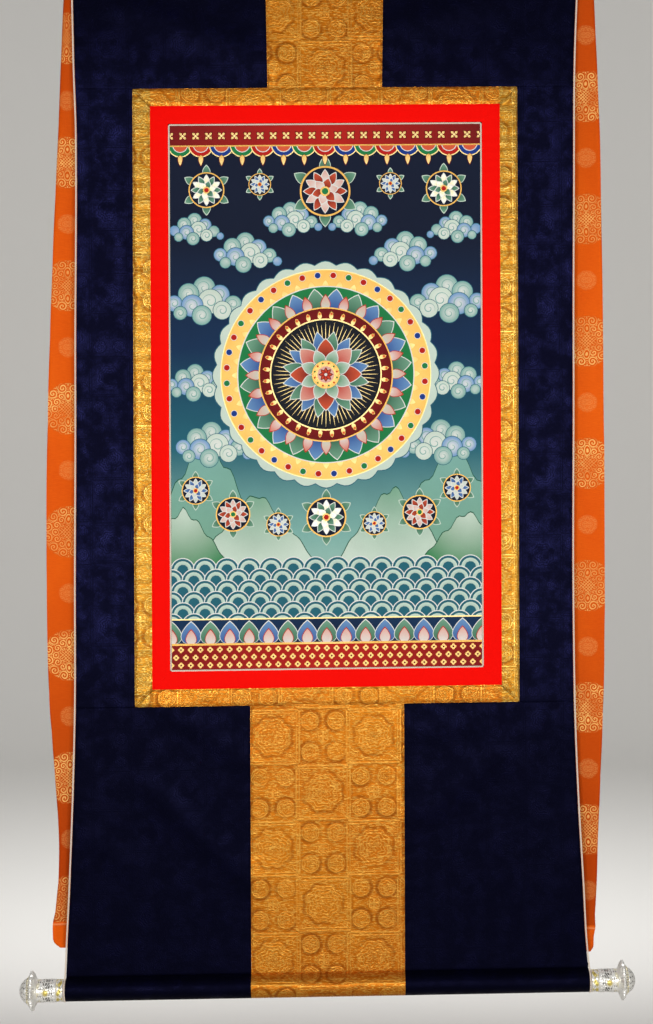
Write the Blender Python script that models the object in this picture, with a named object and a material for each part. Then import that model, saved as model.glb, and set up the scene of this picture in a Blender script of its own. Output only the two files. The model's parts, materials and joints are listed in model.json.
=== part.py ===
"""A Himalayan scroll painting in its silk mount, hanging from its top edge.

The frame is X to the right as seen from the front, Z up, and the front faces -Y. The origin is the
middle of the top edge, where the scroll hangs. Cloth is laid out flat first, by how far a point is
across from the centre line and how far it drops from the top edge, and is then hung in place.
Lengths are in metres.
"""

import math

import bmesh
import bpy
from mathutils import Vector

# The picture and the bands sewn round it
PICTURE_WIDTH = 0.4654
PICTURE_HEIGHT = 0.8145
PIPING_DIAMETER = 0.0028
RED_BAND = 0.0270
GOLD_BAND = 0.0262
FRAME_DROP = 0.2217

# The gold panels above and below the frame
TOP_PANEL_WIDTH_AT_EDGE = 0.1785
TOP_PANEL_WIDTH_AT_FRAME = 0.1718
BOTTOM_PANEL_WIDTH = 0.2310

# The roller, its sleeve and its end caps
ROLLER_DROP = 1.5702
ROLLER_RISE = 0.0148
ROD_RADIUS = 0.0143
SLEEVE_RADIUS = 0.0166
SOCKET_DEPTH = 0.030

# Cloth thicknesses and the gaps between pieces
CLOTH = 0.0016
COVER_CLOTH = 0.0012
SEAM_GAP = 0.0003
TOP_HEM = 0.030
HEM_STEP = 0.0006
COVER_HEM = 0.030

# Mesh fineness
ARC_STEPS = 14
PIPING_SIDES = 6
CAP_SEGMENTS = 32

# Half widths of the silk mount: narrow beside the picture, spreading to the roller
MOUNT_EDGES = (
    dict(drop=0.000, left=0.3790, right=0.3810),
    dict(drop=0.090, left=0.3770, right=0.3770),
    dict(drop=0.190, left=0.3748, right=0.3734),
    dict(drop=0.290, left=0.3720, right=0.3720),
    dict(drop=0.630, left=0.3740, right=0.3700),
    dict(drop=0.990, left=0.3762, right=0.3685),
    dict(drop=1.150, left=0.3774, right=0.3700),
    dict(drop=1.290, left=0.3812, right=0.3752),
    dict(drop=1.420, left=0.3870, right=0.3820),
    dict(drop=1.500, left=0.3915, right=0.3862),
    dict(drop=1.554, left=0.3940, right=0.3912),
)

# Half widths of the loose cover cloth that hangs behind, with its rounded lower corners
COVER_EDGES = (
    dict(drop=0.000, left=0.3860, right=0.4010),
    dict(drop=0.090, left=0.3935, right=0.4060),
    dict(drop=0.285, left=0.4030, right=0.4140),
    dict(drop=0.450, left=0.4110, right=0.4165),
    dict(drop=0.690, left=0.4195, right=0.4185),
    dict(drop=0.900, left=0.4230, right=0.4210),
    dict(drop=1.050, left=0.4220, right=0.4185),
    dict(drop=1.140, left=0.4200, right=0.4165),
    dict(drop=1.230, left=0.4140, right=0.4130),
    dict(drop=1.350, left=0.4065, right=0.4080),
    dict(drop=1.410, left=0.4070, right=0.4062),
    dict(drop=1.447, left=0.4101, right=0.4045),
    dict(drop=1.467, left=0.4124, right=0.4036),
    dict(drop=1.485, left=0.4160, right=0.4040),
    dict(drop=1.4975, left=0.4161, right=0.4015),
    dict(drop=1.508, left=0.4154, right=0.4013),
    dict(drop=1.514, left=0.4128, right=0.4007),
    dict(drop=1.5195, left=0.4060, right=0.3975),
)

# How far the cover cloth stands behind the mount, and how deep its upright folds are. It hangs by
# itself, so its foot doesn't rise with the roller, and its right end is the lower one.
COVER_FOLDS = (
    dict(drop=0.000, behind=0.0035, depth=0.0000),
    dict(drop=0.080, behind=0.0090, depth=0.0022),
    dict(drop=0.300, behind=0.0145, depth=0.0055),
    dict(drop=0.850, behind=0.0135, depth=0.0028),
    dict(drop=1.250, behind=0.0150, depth=0.0060),
    dict(drop=1.5195, behind=0.0165, depth=0.0075),
)
COVER_FOLD_COUNT = 5.5
COVER_LEAN = 0.0112

# Soft slanting ridges in the mount: both ends, how far each stands forward, and how wide it is
RIDGES = (
    dict(x0=-0.300, drop0=0.098, x1=-0.120, drop1=0.168, forward=0.0026, width=0.024),
    dict(x0=0.100, drop0=0.135, x1=0.250, drop1=0.085, forward=0.0024, width=0.026),
    dict(x0=-0.233, drop0=1.155, x1=-0.132, drop1=1.224, forward=0.0024, width=0.018),
    dict(x0=-0.249, drop0=1.284, x1=-0.133, drop1=1.392, forward=0.0036, width=0.022),
    dict(x0=-0.350, drop0=1.345, x1=-0.300, drop1=1.385, forward=0.0016, width=0.018),
    dict(x0=0.144, drop0=1.308, x1=0.243, drop1=1.238, forward=0.0028, width=0.024),
    dict(x0=0.130, drop0=1.190, x1=0.230, drop1=1.178, forward=0.0016, width=0.018),
)

# The turned end cap: how far out from its mouth, its radius, and how deep its petals are cut
END_CAP = (
    dict(out=0.0000, radius=0.0163, petals=0.0),
    dict(out=0.0080, radius=0.0163, petals=0.0),
    dict(out=0.0092, radius=0.0157, petals=0.0),
    dict(out=0.0110, radius=0.0169, petals=0.0),
    dict(out=0.0380, radius=0.0170, petals=0.0),
    dict(out=0.0402, radius=0.0182, petals=0.0),
    dict(out=0.0430, radius=0.0232, petals=0.02),
    dict(out=0.0458, radius=0.0298, petals=0.16),
    dict(out=0.0480, radius=0.0303, petals=0.17),
    dict(out=0.0498, radius=0.0268, petals=0.06),
    dict(out=0.0512, radius=0.0212, petals=0.0),
    dict(out=0.0560, radius=0.0203, petals=0.0),
    dict(out=0.0588, radius=0.0180, petals=0.0),
    dict(out=0.0628, radius=0.0122, petals=0.0),
    dict(out=0.0658, radius=0.0056, petals=0.0),
)
PETAL_COUNT = 8

FRAME_WIDTH = PICTURE_WIDTH + 2 * (PIPING_DIAMETER + RED_BAND + GOLD_BAND)
FRAME_HEIGHT = PICTURE_HEIGHT + 2 * (PIPING_DIAMETER + RED_BAND + GOLD_BAND)
FRAME_END = FRAME_DROP + FRAME_HEIGHT
SEAM_DROP = ROLLER_DROP - math.sqrt(SLEEVE_RADIUS**2 - (CLOTH / 2) ** 2)


def lerp(a, b, t):
    return a + (b - a) * t


def smooth(t):
    t = min(1.0, max(0.0, t))
    return t * t * (3 - 2 * t)


def read(table, column, drop):
    """A table's column at this drop, on a curve through its rows."""
    rows = [(row["drop"], row[column]) for row in table]
    if drop <= rows[0][0]:
        return rows[0][1]
    for i in range(len(rows) - 1):
        (d0, v0), (d1, v1) = rows[i], rows[i + 1]
        if drop <= d1:
            before = rows[max(i - 1, 0)]
            after = rows[min(i + 2, len(rows) - 1)]
            slope0 = (v1 - before[1]) / (d1 - before[0])
            slope1 = (after[1] - v0) / (after[0] - d0)
            t = (drop - d0) / (d1 - d0)
            reach = d1 - d0
            return (
                v0 * (2 * t**3 - 3 * t**2 + 1)
                + v1 * (3 * t**2 - 2 * t**3)
                + slope0 * reach * (t**3 - 2 * t**2 + t)
                + slope1 * reach * (t**3 - t**2)
            )
    return rows[-1][1]


# How the mount hangs


def forward(x, drop):
    """How far the mount stands forward of the hanging plane: a slight bow, rippled edges and ridges."""
    hung = smooth(drop / 0.12) * (1 - smooth((drop - 1.42) / 0.12))
    bow = 0.0035 * math.sin(math.pi * drop / SEAM_DROP)
    edge = read(MOUNT_EDGES, "left" if x < 0 else "right", drop)
    near_edge = smooth(1 - (edge - abs(x)) / 0.085)
    side = -1 if x < 0 else 1
    ripple = near_edge * (0.0012 + 0.0016 * math.sin(drop * 17 + side * 1.9))
    ridges = 0.0
    for ridge in RIDGES:
        start = Vector((ridge["x0"], ridge["drop0"]))
        along = Vector((ridge["x1"], ridge["drop1"])) - start
        point = Vector((x, drop)) - start
        share = point.dot(along) / along.length_squared
        off = abs(point.cross(along)) / along.length
        taper = smooth((share + 0.45) / 0.5) * (1 - smooth((share - 0.95) / 0.5))
        ridges += ridge["forward"] * taper * math.exp(-((off / ridge["width"]) ** 2))
    return hung * (bow + ripple + ridges)


def hung(x, drop, proud=0.0):
    """A flat point of the mount in its hanging place, standing proud of the cloth's middle."""
    z = -drop + x * ROLLER_RISE * drop / ROLLER_DROP
    return Vector((x, -forward(x, drop) - proud, z))


def round_roller(x, angle, radius):
    """A point round the roller's axis. The angle runs from the top towards the front."""
    return Vector(
        (
            x,
            -radius * math.sin(angle),
            -ROLLER_DROP + x * ROLLER_RISE + radius * math.cos(angle),
        )
    )


# Materials and objects


def material(name, colour, roughness, metallic=0.0):
    made = bpy.data.materials.new(name)
    made.use_nodes = True
    shader = made.node_tree.nodes["Principled BSDF"]
    shader.inputs["Base Color"].default_value = (*colour, 1.0)
    shader.inputs["Roughness"].default_value = roughness
    shader.inputs["Metallic"].default_value = metallic
    return made


def add_object(name, points, faces, finish, smooth_over=40):
    mesh = bpy.data.meshes.new(name)
    mesh.from_pydata([tuple(p) for p in points], [], faces)
    sheet = bmesh.new()
    sheet.from_mesh(mesh)
    bmesh.ops.recalc_face_normals(sheet, faces=sheet.faces)
    sheet.to_mesh(mesh)
    sheet.free()
    mesh.shade_smooth()
    mesh.set_sharp_from_angle(angle=math.radians(smooth_over))
    mesh.materials.append(finish)
    made = bpy.data.objects.new(name, mesh)
    bpy.context.scene.collection.objects.link(made)
    return made


# Cloth pieces


def even(count):
    return [i / count for i in range(count + 1)]


def sheet(name, finish, flat_point, across, down, front, back):
    """A closed sheet. flat_point gives x and drop for shares across and down; front and back are faces."""
    wide, tall = len(across), len(down)
    front_points = [front(*flat_point(u, v)) for v in down for u in across]
    back_points = [back(*flat_point(u, v)) for v in down for u in across]
    behind = wide * tall
    faces = []
    for j in range(tall - 1):
        for i in range(wide - 1):
            a = j * wide + i
            quad = (a, a + 1, a + 1 + wide, a + wide)
            faces.append(quad)
            faces.append(tuple(behind + k for k in reversed(quad)))
    rim = [i for i in range(wide)]
    rim += [j * wide + wide - 1 for j in range(1, tall)]
    rim += [(tall - 1) * wide + i for i in range(wide - 2, -1, -1)]
    rim += [j * wide for j in range(tall - 2, 0, -1)]
    for a, b in zip(rim, rim[1:] + rim[:1]):
        faces.append((a, b, behind + b, behind + a))
    return add_object(name, front_points + back_points, faces, finish)


def mount_front(x, drop):
    return hung(x, drop, CLOTH / 2)


def mount_back(x, drop):
    """The back face, which steps out by one more layer where the top hem is turned."""
    turned = 1 - smooth((drop - TOP_HEM) / HEM_STEP)
    return hung(x, drop, -CLOTH / 2 - CLOTH * turned)


def four_sided(corners):
    """The flat points of a straight-edged piece, drawn in on every side by half the seam gap."""
    corners = [Vector(c) for c in corners]
    drawn_in = []
    for i, corner in enumerate(corners):
        to_last = (corners[i - 1] - corner).normalized()
        to_next = (corners[(i + 1) % 4] - corner).normalized()
        turn = abs(to_last.cross(to_next))
        drawn_in.append(corner + (to_last + to_next) * (SEAM_GAP / 2 / turn))
    top_left, top_right, low_right, low_left = drawn_in

    def flat_point(u, v):
        return tuple(lerp(lerp(top_left, top_right, u), lerp(low_left, low_right, u), v))

    return flat_point


def between(left, right, top, bottom):
    """The flat points of a piece between two side edges, each a function of the drop."""
    inset = SEAM_GAP / 2

    def flat_point(u, v):
        drop = lerp(top + inset, bottom - inset, v)
        return lerp(left(drop) + inset, right(drop) - inset, u), drop

    return flat_point


def sleeved_panel(name, finish, left, right, across, down):
    """A lower panel: one cloth that runs down, wraps round the roller and is sewn to its own back."""
    flat_point = between(left, right, FRAME_END, SEAM_DROP + SEAM_GAP / 2)
    start = math.asin(CLOTH / 2 / SLEEVE_RADIUS)
    angles = [lerp(start, 2 * math.pi - start, m / ARC_STEPS) for m in range(ARC_STEPS + 1)]
    inner_radius = SLEEVE_RADIUS - CLOTH
    points, faces = [], []
    for u in across:
        x = flat_point(u, 1)[0]
        arc = [round_roller(x, angle, SLEEVE_RADIUS) for angle in angles]
        points += [mount_front(*flat_point(u, v)) for v in down[:-1]]
        points += arc
        points += [mount_back(*flat_point(u, v)) for v in reversed(down[:-1])]
        points += [round_roller(x, angle, inner_radius) for angle in angles]
    rows = len(down) - 1
    ring = ARC_STEPS + 1
    outer = 2 * rows + ring
    each = outer + ring
    for i in range(len(across) - 1):
        a, b = i * each, (i + 1) * each
        for k in range(outer):
            n = (k + 1) % outer
            faces.append((a + k, b + k, b + n, a + n))
        for k in range(ring):
            n = (k + 1) % ring
            faces.append((a + outer + k, a + outer + n, b + outer + n, b + outer + k))
    for a in (0, (len(across) - 1) * each):
        for j in range(rows):
            mate = outer - 1 - j
            faces.append((a + j, a + j + 1, a + mate - 1, a + mate))
        for m in range(ARC_STEPS):
            k = rows + m
            faces.append((a + k, a + k + 1, a + outer + m + 1, a + outer + m))
        faces.append((a + rows, a + outer, a + outer + ARC_STEPS, a + rows + ARC_STEPS))
    return add_object(name, points, faces, finish)


def picture_and_bands(canvas, red, gold):
    """The painted canvas and the red and gold bands round it, mitred at their corners."""
    half = PICTURE_WIDTH / 2
    top = FRAME_DROP + GOLD_BAND + RED_BAND + PIPING_DIAMETER
    bottom = top + PICTURE_HEIGHT
    picture = four_sided([(-half, top), (half, top), (half, bottom), (-half, bottom)])
    sheet("painting", canvas, picture, even(10), even(16), mount_front, mount_back)
    inside = PIPING_DIAMETER
    for name, finish, band in (("red_band", red, RED_BAND), ("gold_band", gold, GOLD_BAND)):
        outside = inside + band
        corners = {}
        for ring, grow in (("inner", inside), ("outer", outside)):
            corners[ring] = (
                (-half - grow, top - grow),
                (half + grow, top - grow),
                (half + grow, bottom + grow),
                (-half - grow, bottom + grow),
            )
        inner, outer = corners["inner"], corners["outer"]
        sides = {
            "top": (outer[0], outer[1], inner[1], inner[0]),
            "right": (inner[1], outer[1], outer[2], inner[2]),
            "bottom": (inner[3], inner[2], outer[2], outer[3]),
            "left": (outer[0], inner[0], inner[3], outer[3]),
        }
        for side, quad in sides.items():
            level = side in ("top", "bottom")
            across, down = (even(10), even(1)) if level else (even(1), even(16))
            flat_point = four_sided(quad)
            sheet(f"{name}_{side}", finish, flat_point, across, down, mount_front, mount_back)
        inside = outside


def mount_panels(silk, gold):
    """The dark silk panels and the two gold ones, from the top hem to the roller."""
    to_frame = FRAME_WIDTH / 2

    def left_edge(drop):
        return -read(MOUNT_EDGES, "left", drop)

    def right_edge(drop):
        return read(MOUNT_EDGES, "right", drop)

    def panel_side(drop):
        share = drop / FRAME_DROP
        return lerp(TOP_PANEL_WIDTH_AT_EDGE, TOP_PANEL_WIDTH_AT_FRAME, share) / 2

    hem = [TOP_HEM / FRAME_DROP, (TOP_HEM + HEM_STEP) / FRAME_DROP]
    top_rows = [0.0, *hem, 0.34, 0.5, 0.67, 0.84, 1.0]
    upper = {
        "gold_panel_top": (gold, lambda d: -panel_side(d), panel_side, 4),
        "silk_top_left": (silk, left_edge, lambda d: -panel_side(d), 7),
        "silk_top_right": (silk, panel_side, right_edge, 7),
    }
    for name, (finish, left, right, columns) in upper.items():
        flat_point = between(left, right, 0.0, FRAME_DROP)
        sheet(name, finish, flat_point, even(columns), top_rows, mount_front, mount_back)
    beside = {
        "silk_side_left": (left_edge, lambda d: -to_frame),
        "silk_side_right": (lambda d: to_frame, right_edge),
    }
    for name, (left, right) in beside.items():
        flat_point = between(left, right, FRAME_DROP, FRAME_END)
        sheet(name, silk, flat_point, even(3), even(18), mount_front, mount_back)
    half = BOTTOM_PANEL_WIDTH / 2
    lower = {
        "gold_panel_bottom": (gold, lambda d: -half, lambda d: half, 4),
        "silk_bottom_left": (silk, left_edge, lambda d: -half, 7),
        "silk_bottom_right": (silk, lambda d: half, right_edge, 7),
    }
    for name, (finish, left, right, columns) in lower.items():
        sleeved_panel(name, finish, left, right, even(columns), even(9))


def cover_place(u, drop, behind):
    """A point of the cover cloth, u from its left edge to its right one, in its soft upright folds."""
    x = lerp(-read(COVER_EDGES, "left", drop), read(COVER_EDGES, "right", drop), u)
    depth = read(COVER_FOLDS, "depth", drop)
    folds = depth * math.sin(2 * math.pi * COVER_FOLD_COUNT * u + 0.9 * math.sin(drop * 2.1))
    y = read(COVER_FOLDS, "behind", drop) + folds + behind
    end = COVER_EDGES[-1]["drop"]
    return Vector((x, y, -drop - x * COVER_LEAN * drop / end))


def cover_cloth(finish):
    """The cloth that covers the picture when it isn't shown, thrown back over the top to hang behind."""
    end = COVER_EDGES[-1]["drop"]
    hem = (end - COVER_HEM) / end
    down = [0.0, 0.035, 0.09, 0.16, 0.25, 0.35, 0.45, 0.55, 0.65, 0.74, 0.82, 0.88, 0.935, 0.962]
    down += [hem, hem + HEM_STEP / end, 0.9868, 0.9938, 1.0]

    def flat_point(u, v):
        return u, v * end

    def front(u, drop):
        return cover_place(u, drop, -COVER_CLOTH / 2)

    def back(u, drop):
        turned = smooth((drop - end + COVER_HEM) / HEM_STEP)
        return cover_place(u, drop, COVER_CLOTH / 2 + COVER_CLOTH * turned)

    sheet("cover_cloth", finish, flat_point, even(33), down, front, back)


# Cords sewn along the edges


def cord_solid(name, finish, centres, closed):
    """A cord round these centres, each given as its place and the two directions across it."""
    points, faces = [], []
    for place, side, out in centres:
        for k in range(PIPING_SIDES):
            angle = 2 * math.pi * k / PIPING_SIDES
            points.append(place + side * math.cos(angle) + out * math.sin(angle))
    spans = len(centres) if closed else len(centres) - 1
    for i in range(spans):
        a, b = i * PIPING_SIDES, (i + 1) % len(centres) * PIPING_SIDES
        for k in range(PIPING_SIDES):
            n = (k + 1) % PIPING_SIDES
            faces.append((a + k, b + k, b + n, a + n))
    if not closed:
        last = (len(centres) - 1) * PIPING_SIDES
        faces.append(tuple(range(PIPING_SIDES)))
        faces.append(tuple(reversed(range(last, last + PIPING_SIDES))))
    return add_object(name, points, faces, finish, smooth_over=70)


def picture_piping(finish):
    """The fine cord round the picture, in one length, mitred at the corners."""
    radius = PIPING_DIAMETER / 2
    half = PICTURE_WIDTH / 2 + radius
    top = FRAME_DROP + GOLD_BAND + RED_BAND + radius
    bottom = top + PICTURE_HEIGHT + PIPING_DIAMETER
    corners = [(-half, top), (half, top), (half, bottom), (-half, bottom)]
    outward = [(-1, -1), (1, -1), (1, 1), (-1, 1)]
    sides = [(0, -1), (1, 0), (0, 1), (-1, 0)]
    spans = [10, 16, 10, 16]
    thick = radius - SEAM_GAP
    centres = []
    for i in range(4):
        (x0, d0), (x1, d1) = corners[i], corners[(i + 1) % 4]
        for step in range(spans[i]):
            share = step / spans[i]
            away = outward[i] if step == 0 else sides[i]
            side = Vector((away[0], 0, -away[1])) * thick
            place = hung(lerp(x0, x1, share), lerp(d0, d1, share))
            centres.append((place, side, Vector((0, -thick, 0))))
    cord_solid("picture_piping", finish, centres, closed=True)


def edge_piping(name, finish, side):
    """The fine cord down one side edge of the mount and round the end of the roller's sleeve."""
    column = "left" if side < 0 else "right"
    radius = PIPING_DIAMETER / 2
    off = radius + SEAM_GAP
    line = []
    for share in even(26):
        drop = lerp(SEAM_GAP, SEAM_DROP - 0.006, share)
        line.append(hung(side * (read(MOUNT_EDGES, column, drop) + off), drop))
    end_x = side * (read(MOUNT_EDGES, column, SEAM_DROP) + off)
    track = SLEEVE_RADIUS - CLOTH / 2 + 0.0006
    for angle in range(20, 336, 15):
        line.append(round_roller(end_x, math.radians(angle), track))
    centres = []
    for i, place in enumerate(line):
        along = (line[min(i + 1, len(line) - 1)] - line[max(i - 1, 0)]).normalized()
        across = Vector((side, 0, 0))
        out = across.cross(along).normalized()
        centres.append((place, across * radius, out * radius))
    cord_solid(name, finish, centres, closed=False)


# The roller


def turned(name, finish, profile, place, side):
    """A body turned about X from a list of distance out, radius and petal depth, closed on its axis."""
    points, faces = [], []
    for out, radius, petals in profile:
        for k in range(CAP_SEGMENTS):
            angle = 2 * math.pi * k / CAP_SEGMENTS
            lobe = abs(math.cos(angle * PETAL_COUNT / 2))
            r = radius * (1 - petals * (1 - lobe))
            points.append(Vector((side * out, r * math.sin(angle), r * math.cos(angle))))
    for i in range(len(profile) - 1):
        for k in range(CAP_SEGMENTS):
            n = (k + 1) % CAP_SEGMENTS
            a, b = i * CAP_SEGMENTS, (i + 1) * CAP_SEGMENTS
            faces.append((a + k, a + n, b + n, b + k))
    first, last = len(points), len(points) + 1
    points.append(Vector((side * profile[0][0], 0, 0)))
    points.append(Vector((side * profile[-1][0], 0, 0)))
    base = (len(profile) - 1) * CAP_SEGMENTS
    for k in range(CAP_SEGMENTS):
        n = (k + 1) % CAP_SEGMENTS
        faces.append((first, n, k))
        faces.append((last, base + k, base + n))
    made = add_object(name, points, faces, finish)
    made.location = place
    made.rotation_euler = (0, -math.atan(ROLLER_RISE), 0)
    return made


def roller(wood, silver):
    """The wooden rod inside the sleeve, and the silver end caps that are fitted over its ends."""
    bore = ROD_RADIUS + SEAM_GAP
    floor = SOCKET_DEPTH + SEAM_GAP
    reach = {}
    for side, column in ((-1, "left"), (1, "right")):
        mouth = read(MOUNT_EDGES, column, SEAM_DROP) + PIPING_DIAMETER + 3 * SEAM_GAP
        reach[column] = mouth + SOCKET_DEPTH
        profile = [(floor, bore, 0.0), (0.0, bore, 0.0)]
        profile += [(row["out"], row["radius"], row["petals"]) for row in END_CAP]
        tip = END_CAP[-1]["out"] + 0.0007
        profile.append((tip, 0.0006, 0.0))
        place = Vector((side * mouth, 0, -ROLLER_DROP + side * mouth * ROLLER_RISE))
        turned(f"end_cap_{column}", silver, profile, place, side)
    rod_length = reach["left"] + reach["right"]
    middle = (reach["right"] - reach["left"]) / 2
    profile = [(-rod_length / 2, ROD_RADIUS, 0.0), (rod_length / 2, ROD_RADIUS, 0.0)]
    place = Vector((middle, 0, -ROLLER_DROP + middle * ROLLER_RISE))
    turned("roller_rod", wood, profile, place, 1)


def main():
    for old in list(bpy.data.objects):
        bpy.data.objects.remove(old)
    canvas = material("painted canvas", (0.05, 0.12, 0.22), 0.7)
    red = material("red silk", (0.80, 0.01, 0.01), 0.55)
    gold = material("gold brocade", (0.62, 0.30, 0.05), 0.45)
    silk = material("dark blue silk", (0.008, 0.009, 0.045), 0.5)
    cream = material("cream piping", (0.75, 0.60, 0.52), 0.6)
    orange = material("orange brocade", (0.68, 0.13, 0.02), 0.5)
    wood = material("rod wood", (0.45, 0.29, 0.15), 0.6)
    silver = material("silver", (0.80, 0.78, 0.74), 0.3, metallic=1.0)
    picture_and_bands(canvas, red, gold)
    mount_panels(silk, gold)
    picture_piping(cream)
    edge_piping("edge_piping_left", cream, -1)
    edge_piping("edge_piping_right", cream, 1)
    cover_cloth(orange)
    roller(wood, silver)


main()
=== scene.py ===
import json
import math

import bpy
import numpy as np
from mathutils import Matrix, Vector, geometry

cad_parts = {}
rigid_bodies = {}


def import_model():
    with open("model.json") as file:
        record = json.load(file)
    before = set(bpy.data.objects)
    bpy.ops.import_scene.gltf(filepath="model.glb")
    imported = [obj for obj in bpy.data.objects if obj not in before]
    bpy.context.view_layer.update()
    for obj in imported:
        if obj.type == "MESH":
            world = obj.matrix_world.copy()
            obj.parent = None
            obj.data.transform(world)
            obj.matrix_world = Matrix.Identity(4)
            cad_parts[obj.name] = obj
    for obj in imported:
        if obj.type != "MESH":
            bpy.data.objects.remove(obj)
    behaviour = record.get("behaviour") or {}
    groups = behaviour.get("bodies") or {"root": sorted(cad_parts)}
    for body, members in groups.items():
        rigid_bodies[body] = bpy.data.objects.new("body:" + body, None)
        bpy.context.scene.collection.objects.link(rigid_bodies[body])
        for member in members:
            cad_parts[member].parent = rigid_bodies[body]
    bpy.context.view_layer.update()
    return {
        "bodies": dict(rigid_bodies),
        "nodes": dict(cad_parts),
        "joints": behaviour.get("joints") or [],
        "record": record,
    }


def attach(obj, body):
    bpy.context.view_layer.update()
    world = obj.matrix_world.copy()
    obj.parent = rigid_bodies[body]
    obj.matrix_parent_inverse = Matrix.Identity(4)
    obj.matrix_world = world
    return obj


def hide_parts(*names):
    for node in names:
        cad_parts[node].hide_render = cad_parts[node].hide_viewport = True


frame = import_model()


# The camera stands 3 m in front of the scroll, level with the middle of the photograph's frame, and
# turns, tilts and leans by the fraction of a degree that the photograph does.
AIM = Vector((0.0002, 0, -0.8584))
DISTANCE = 3.0
LENS = 70.2
TURN, TILT, LEAN = (math.radians(a) for a in (-0.063, 0.175, 0.2275))


def added(name, data):
    """A new object in the scene."""
    made = bpy.data.objects.new(name, data)
    bpy.context.scene.collection.objects.link(made)
    return made


facing = (Matrix.Rotation(TILT, 3, "X") @ Matrix.Rotation(TURN, 3, "Z")).transposed()
camera = added("camera", bpy.data.cameras.new("camera"))
camera.data.lens = LENS
upright = facing @ Matrix.Rotation(LEAN, 3, "Y") @ Matrix.Rotation(math.pi / 2, 3, "X")
stands = AIM + facing @ Vector((0, -DISTANCE, 0))
camera.matrix_world = Matrix.Translation(stands) @ upright.to_4x4()
bpy.context.scene.camera = camera


# The painted canvas. Primed cotton, stretched flat while it is painted with mineral colours and gold,
# then sewn into the mount. It hangs with the mount, whose slight bow, edge ripples and slanting ridges
# are worked out here first. Its picture is a generic one: rosettes, clouds, hills, water and lotus.
def listed(columns, *rows):
    """Rows of values under named columns."""
    return [dict(zip(columns.split(), row)) for row in rows]


PICTURE_WIDTH = 0.4654
PICTURE_HEIGHT = 0.8145
PIPING_DIAMETER = 0.0028
RED_BAND = 0.0270
GOLD_BAND = 0.0262
FRAME_DROP = 0.2217
CLOTH = 0.0016
ROLLER_DROP = 1.5702
ROLLER_RISE = 0.0148
MOUNT_FOOT = 1.5536
PICTURE_DROP = FRAME_DROP + GOLD_BAND + RED_BAND + PIPING_DIAMETER
MOUNT_EDGES = listed(
    "drop left right",
    (0.000, 0.3790, 0.3810), (0.090, 0.3770, 0.3770), (0.190, 0.3748, 0.3734),
    (0.290, 0.3720, 0.3720), (0.630, 0.3740, 0.3700), (0.990, 0.3762, 0.3685),
    (1.150, 0.3774, 0.3700), (1.290, 0.3812, 0.3752), (1.420, 0.3870, 0.3820),
    (1.500, 0.3915, 0.3862), (1.554, 0.3940, 0.3912),
)
RIDGES = listed(
    "x0 drop0 x1 drop1 forward width",
    (-0.300, 0.098, -0.120, 0.168, 0.0026, 0.024),
    (0.100, 0.135, 0.250, 0.085, 0.0024, 0.026),
    (-0.233, 1.155, -0.132, 1.224, 0.0024, 0.018),
    (-0.249, 1.284, -0.133, 1.392, 0.0036, 0.022),
    (-0.350, 1.345, -0.300, 1.385, 0.0016, 0.018),
    (0.144, 1.308, 0.243, 1.238, 0.0028, 0.024),
    (0.130, 1.190, 0.230, 1.178, 0.0016, 0.018),
)


def smooth(t):
    """A step from 0 to 1 with soft ends."""
    t = np.clip(t, 0, 1)
    return t * t * (3 - 2 * t)


def read(table, column, drop):
    """A table's column at these drops, on a curve through its rows."""
    at = np.array([row["drop"] for row in table])
    value = np.array([row[column] for row in table])
    ahead, behind = np.roll(np.arange(len(at)), -1), np.roll(np.arange(len(at)), 1)
    ahead[-1], behind[0] = len(at) - 1, 0
    slope = (value[ahead] - value[behind]) / (at[ahead] - at[behind])
    i = np.clip(np.searchsorted(at, drop, side="right") - 1, 0, len(at) - 2)
    reach = at[i + 1] - at[i]
    t = np.clip((drop - at[i]) / reach, 0, 1)
    return (
        value[i] * (2 * t**3 - 3 * t**2 + 1)
        + value[i + 1] * (3 * t**2 - 2 * t**3)
        + slope[i] * reach * (t**3 - 2 * t**2 + t)
        + slope[i + 1] * reach * (t**3 - t**2)
    )


def forward(x, drop):
    """How far the mount stands forward of the hanging plane."""
    hangs = smooth(drop / 0.12) * (1 - smooth((drop - 1.42) / 0.12))
    bow = 0.0035 * np.sin(math.pi * drop / MOUNT_FOOT)
    side = np.where(x < 0, -1, 1)
    edge = np.where(x < 0, read(MOUNT_EDGES, "left", drop), read(MOUNT_EDGES, "right", drop))
    near_edge = smooth(1 - (edge - abs(x)) / 0.085)
    ripple = near_edge * (0.0012 + 0.0016 * np.sin(drop * 17 + side * 1.9))
    ridges = np.zeros_like(bow)
    for ridge in RIDGES:
        along_x, along_drop = ridge["x1"] - ridge["x0"], ridge["drop1"] - ridge["drop0"]
        long = math.hypot(along_x, along_drop)
        to_x, to_drop = x - ridge["x0"], drop - ridge["drop0"]
        share = (to_x * along_x + to_drop * along_drop) / long**2
        off = (to_x * along_drop - to_drop * along_x) / long
        taper = smooth((share + 0.45) / 0.5) * (1 - smooth((share - 0.95) / 0.5))
        ridges += ridge["forward"] * taper * np.exp(-((off / ridge["width"]) ** 2))
    return hangs * (bow + ripple + ridges)


def hung(x, drop, behind=0.0):
    """Flat points of the mount in their hanging places, so far behind the cloth's middle."""
    x, drop = np.asarray(x, float), np.asarray(drop, float)
    y = behind - forward(x, drop)
    return np.stack([x, y, -drop + x * ROLLER_RISE * drop / ROLLER_DROP], -1)


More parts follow.
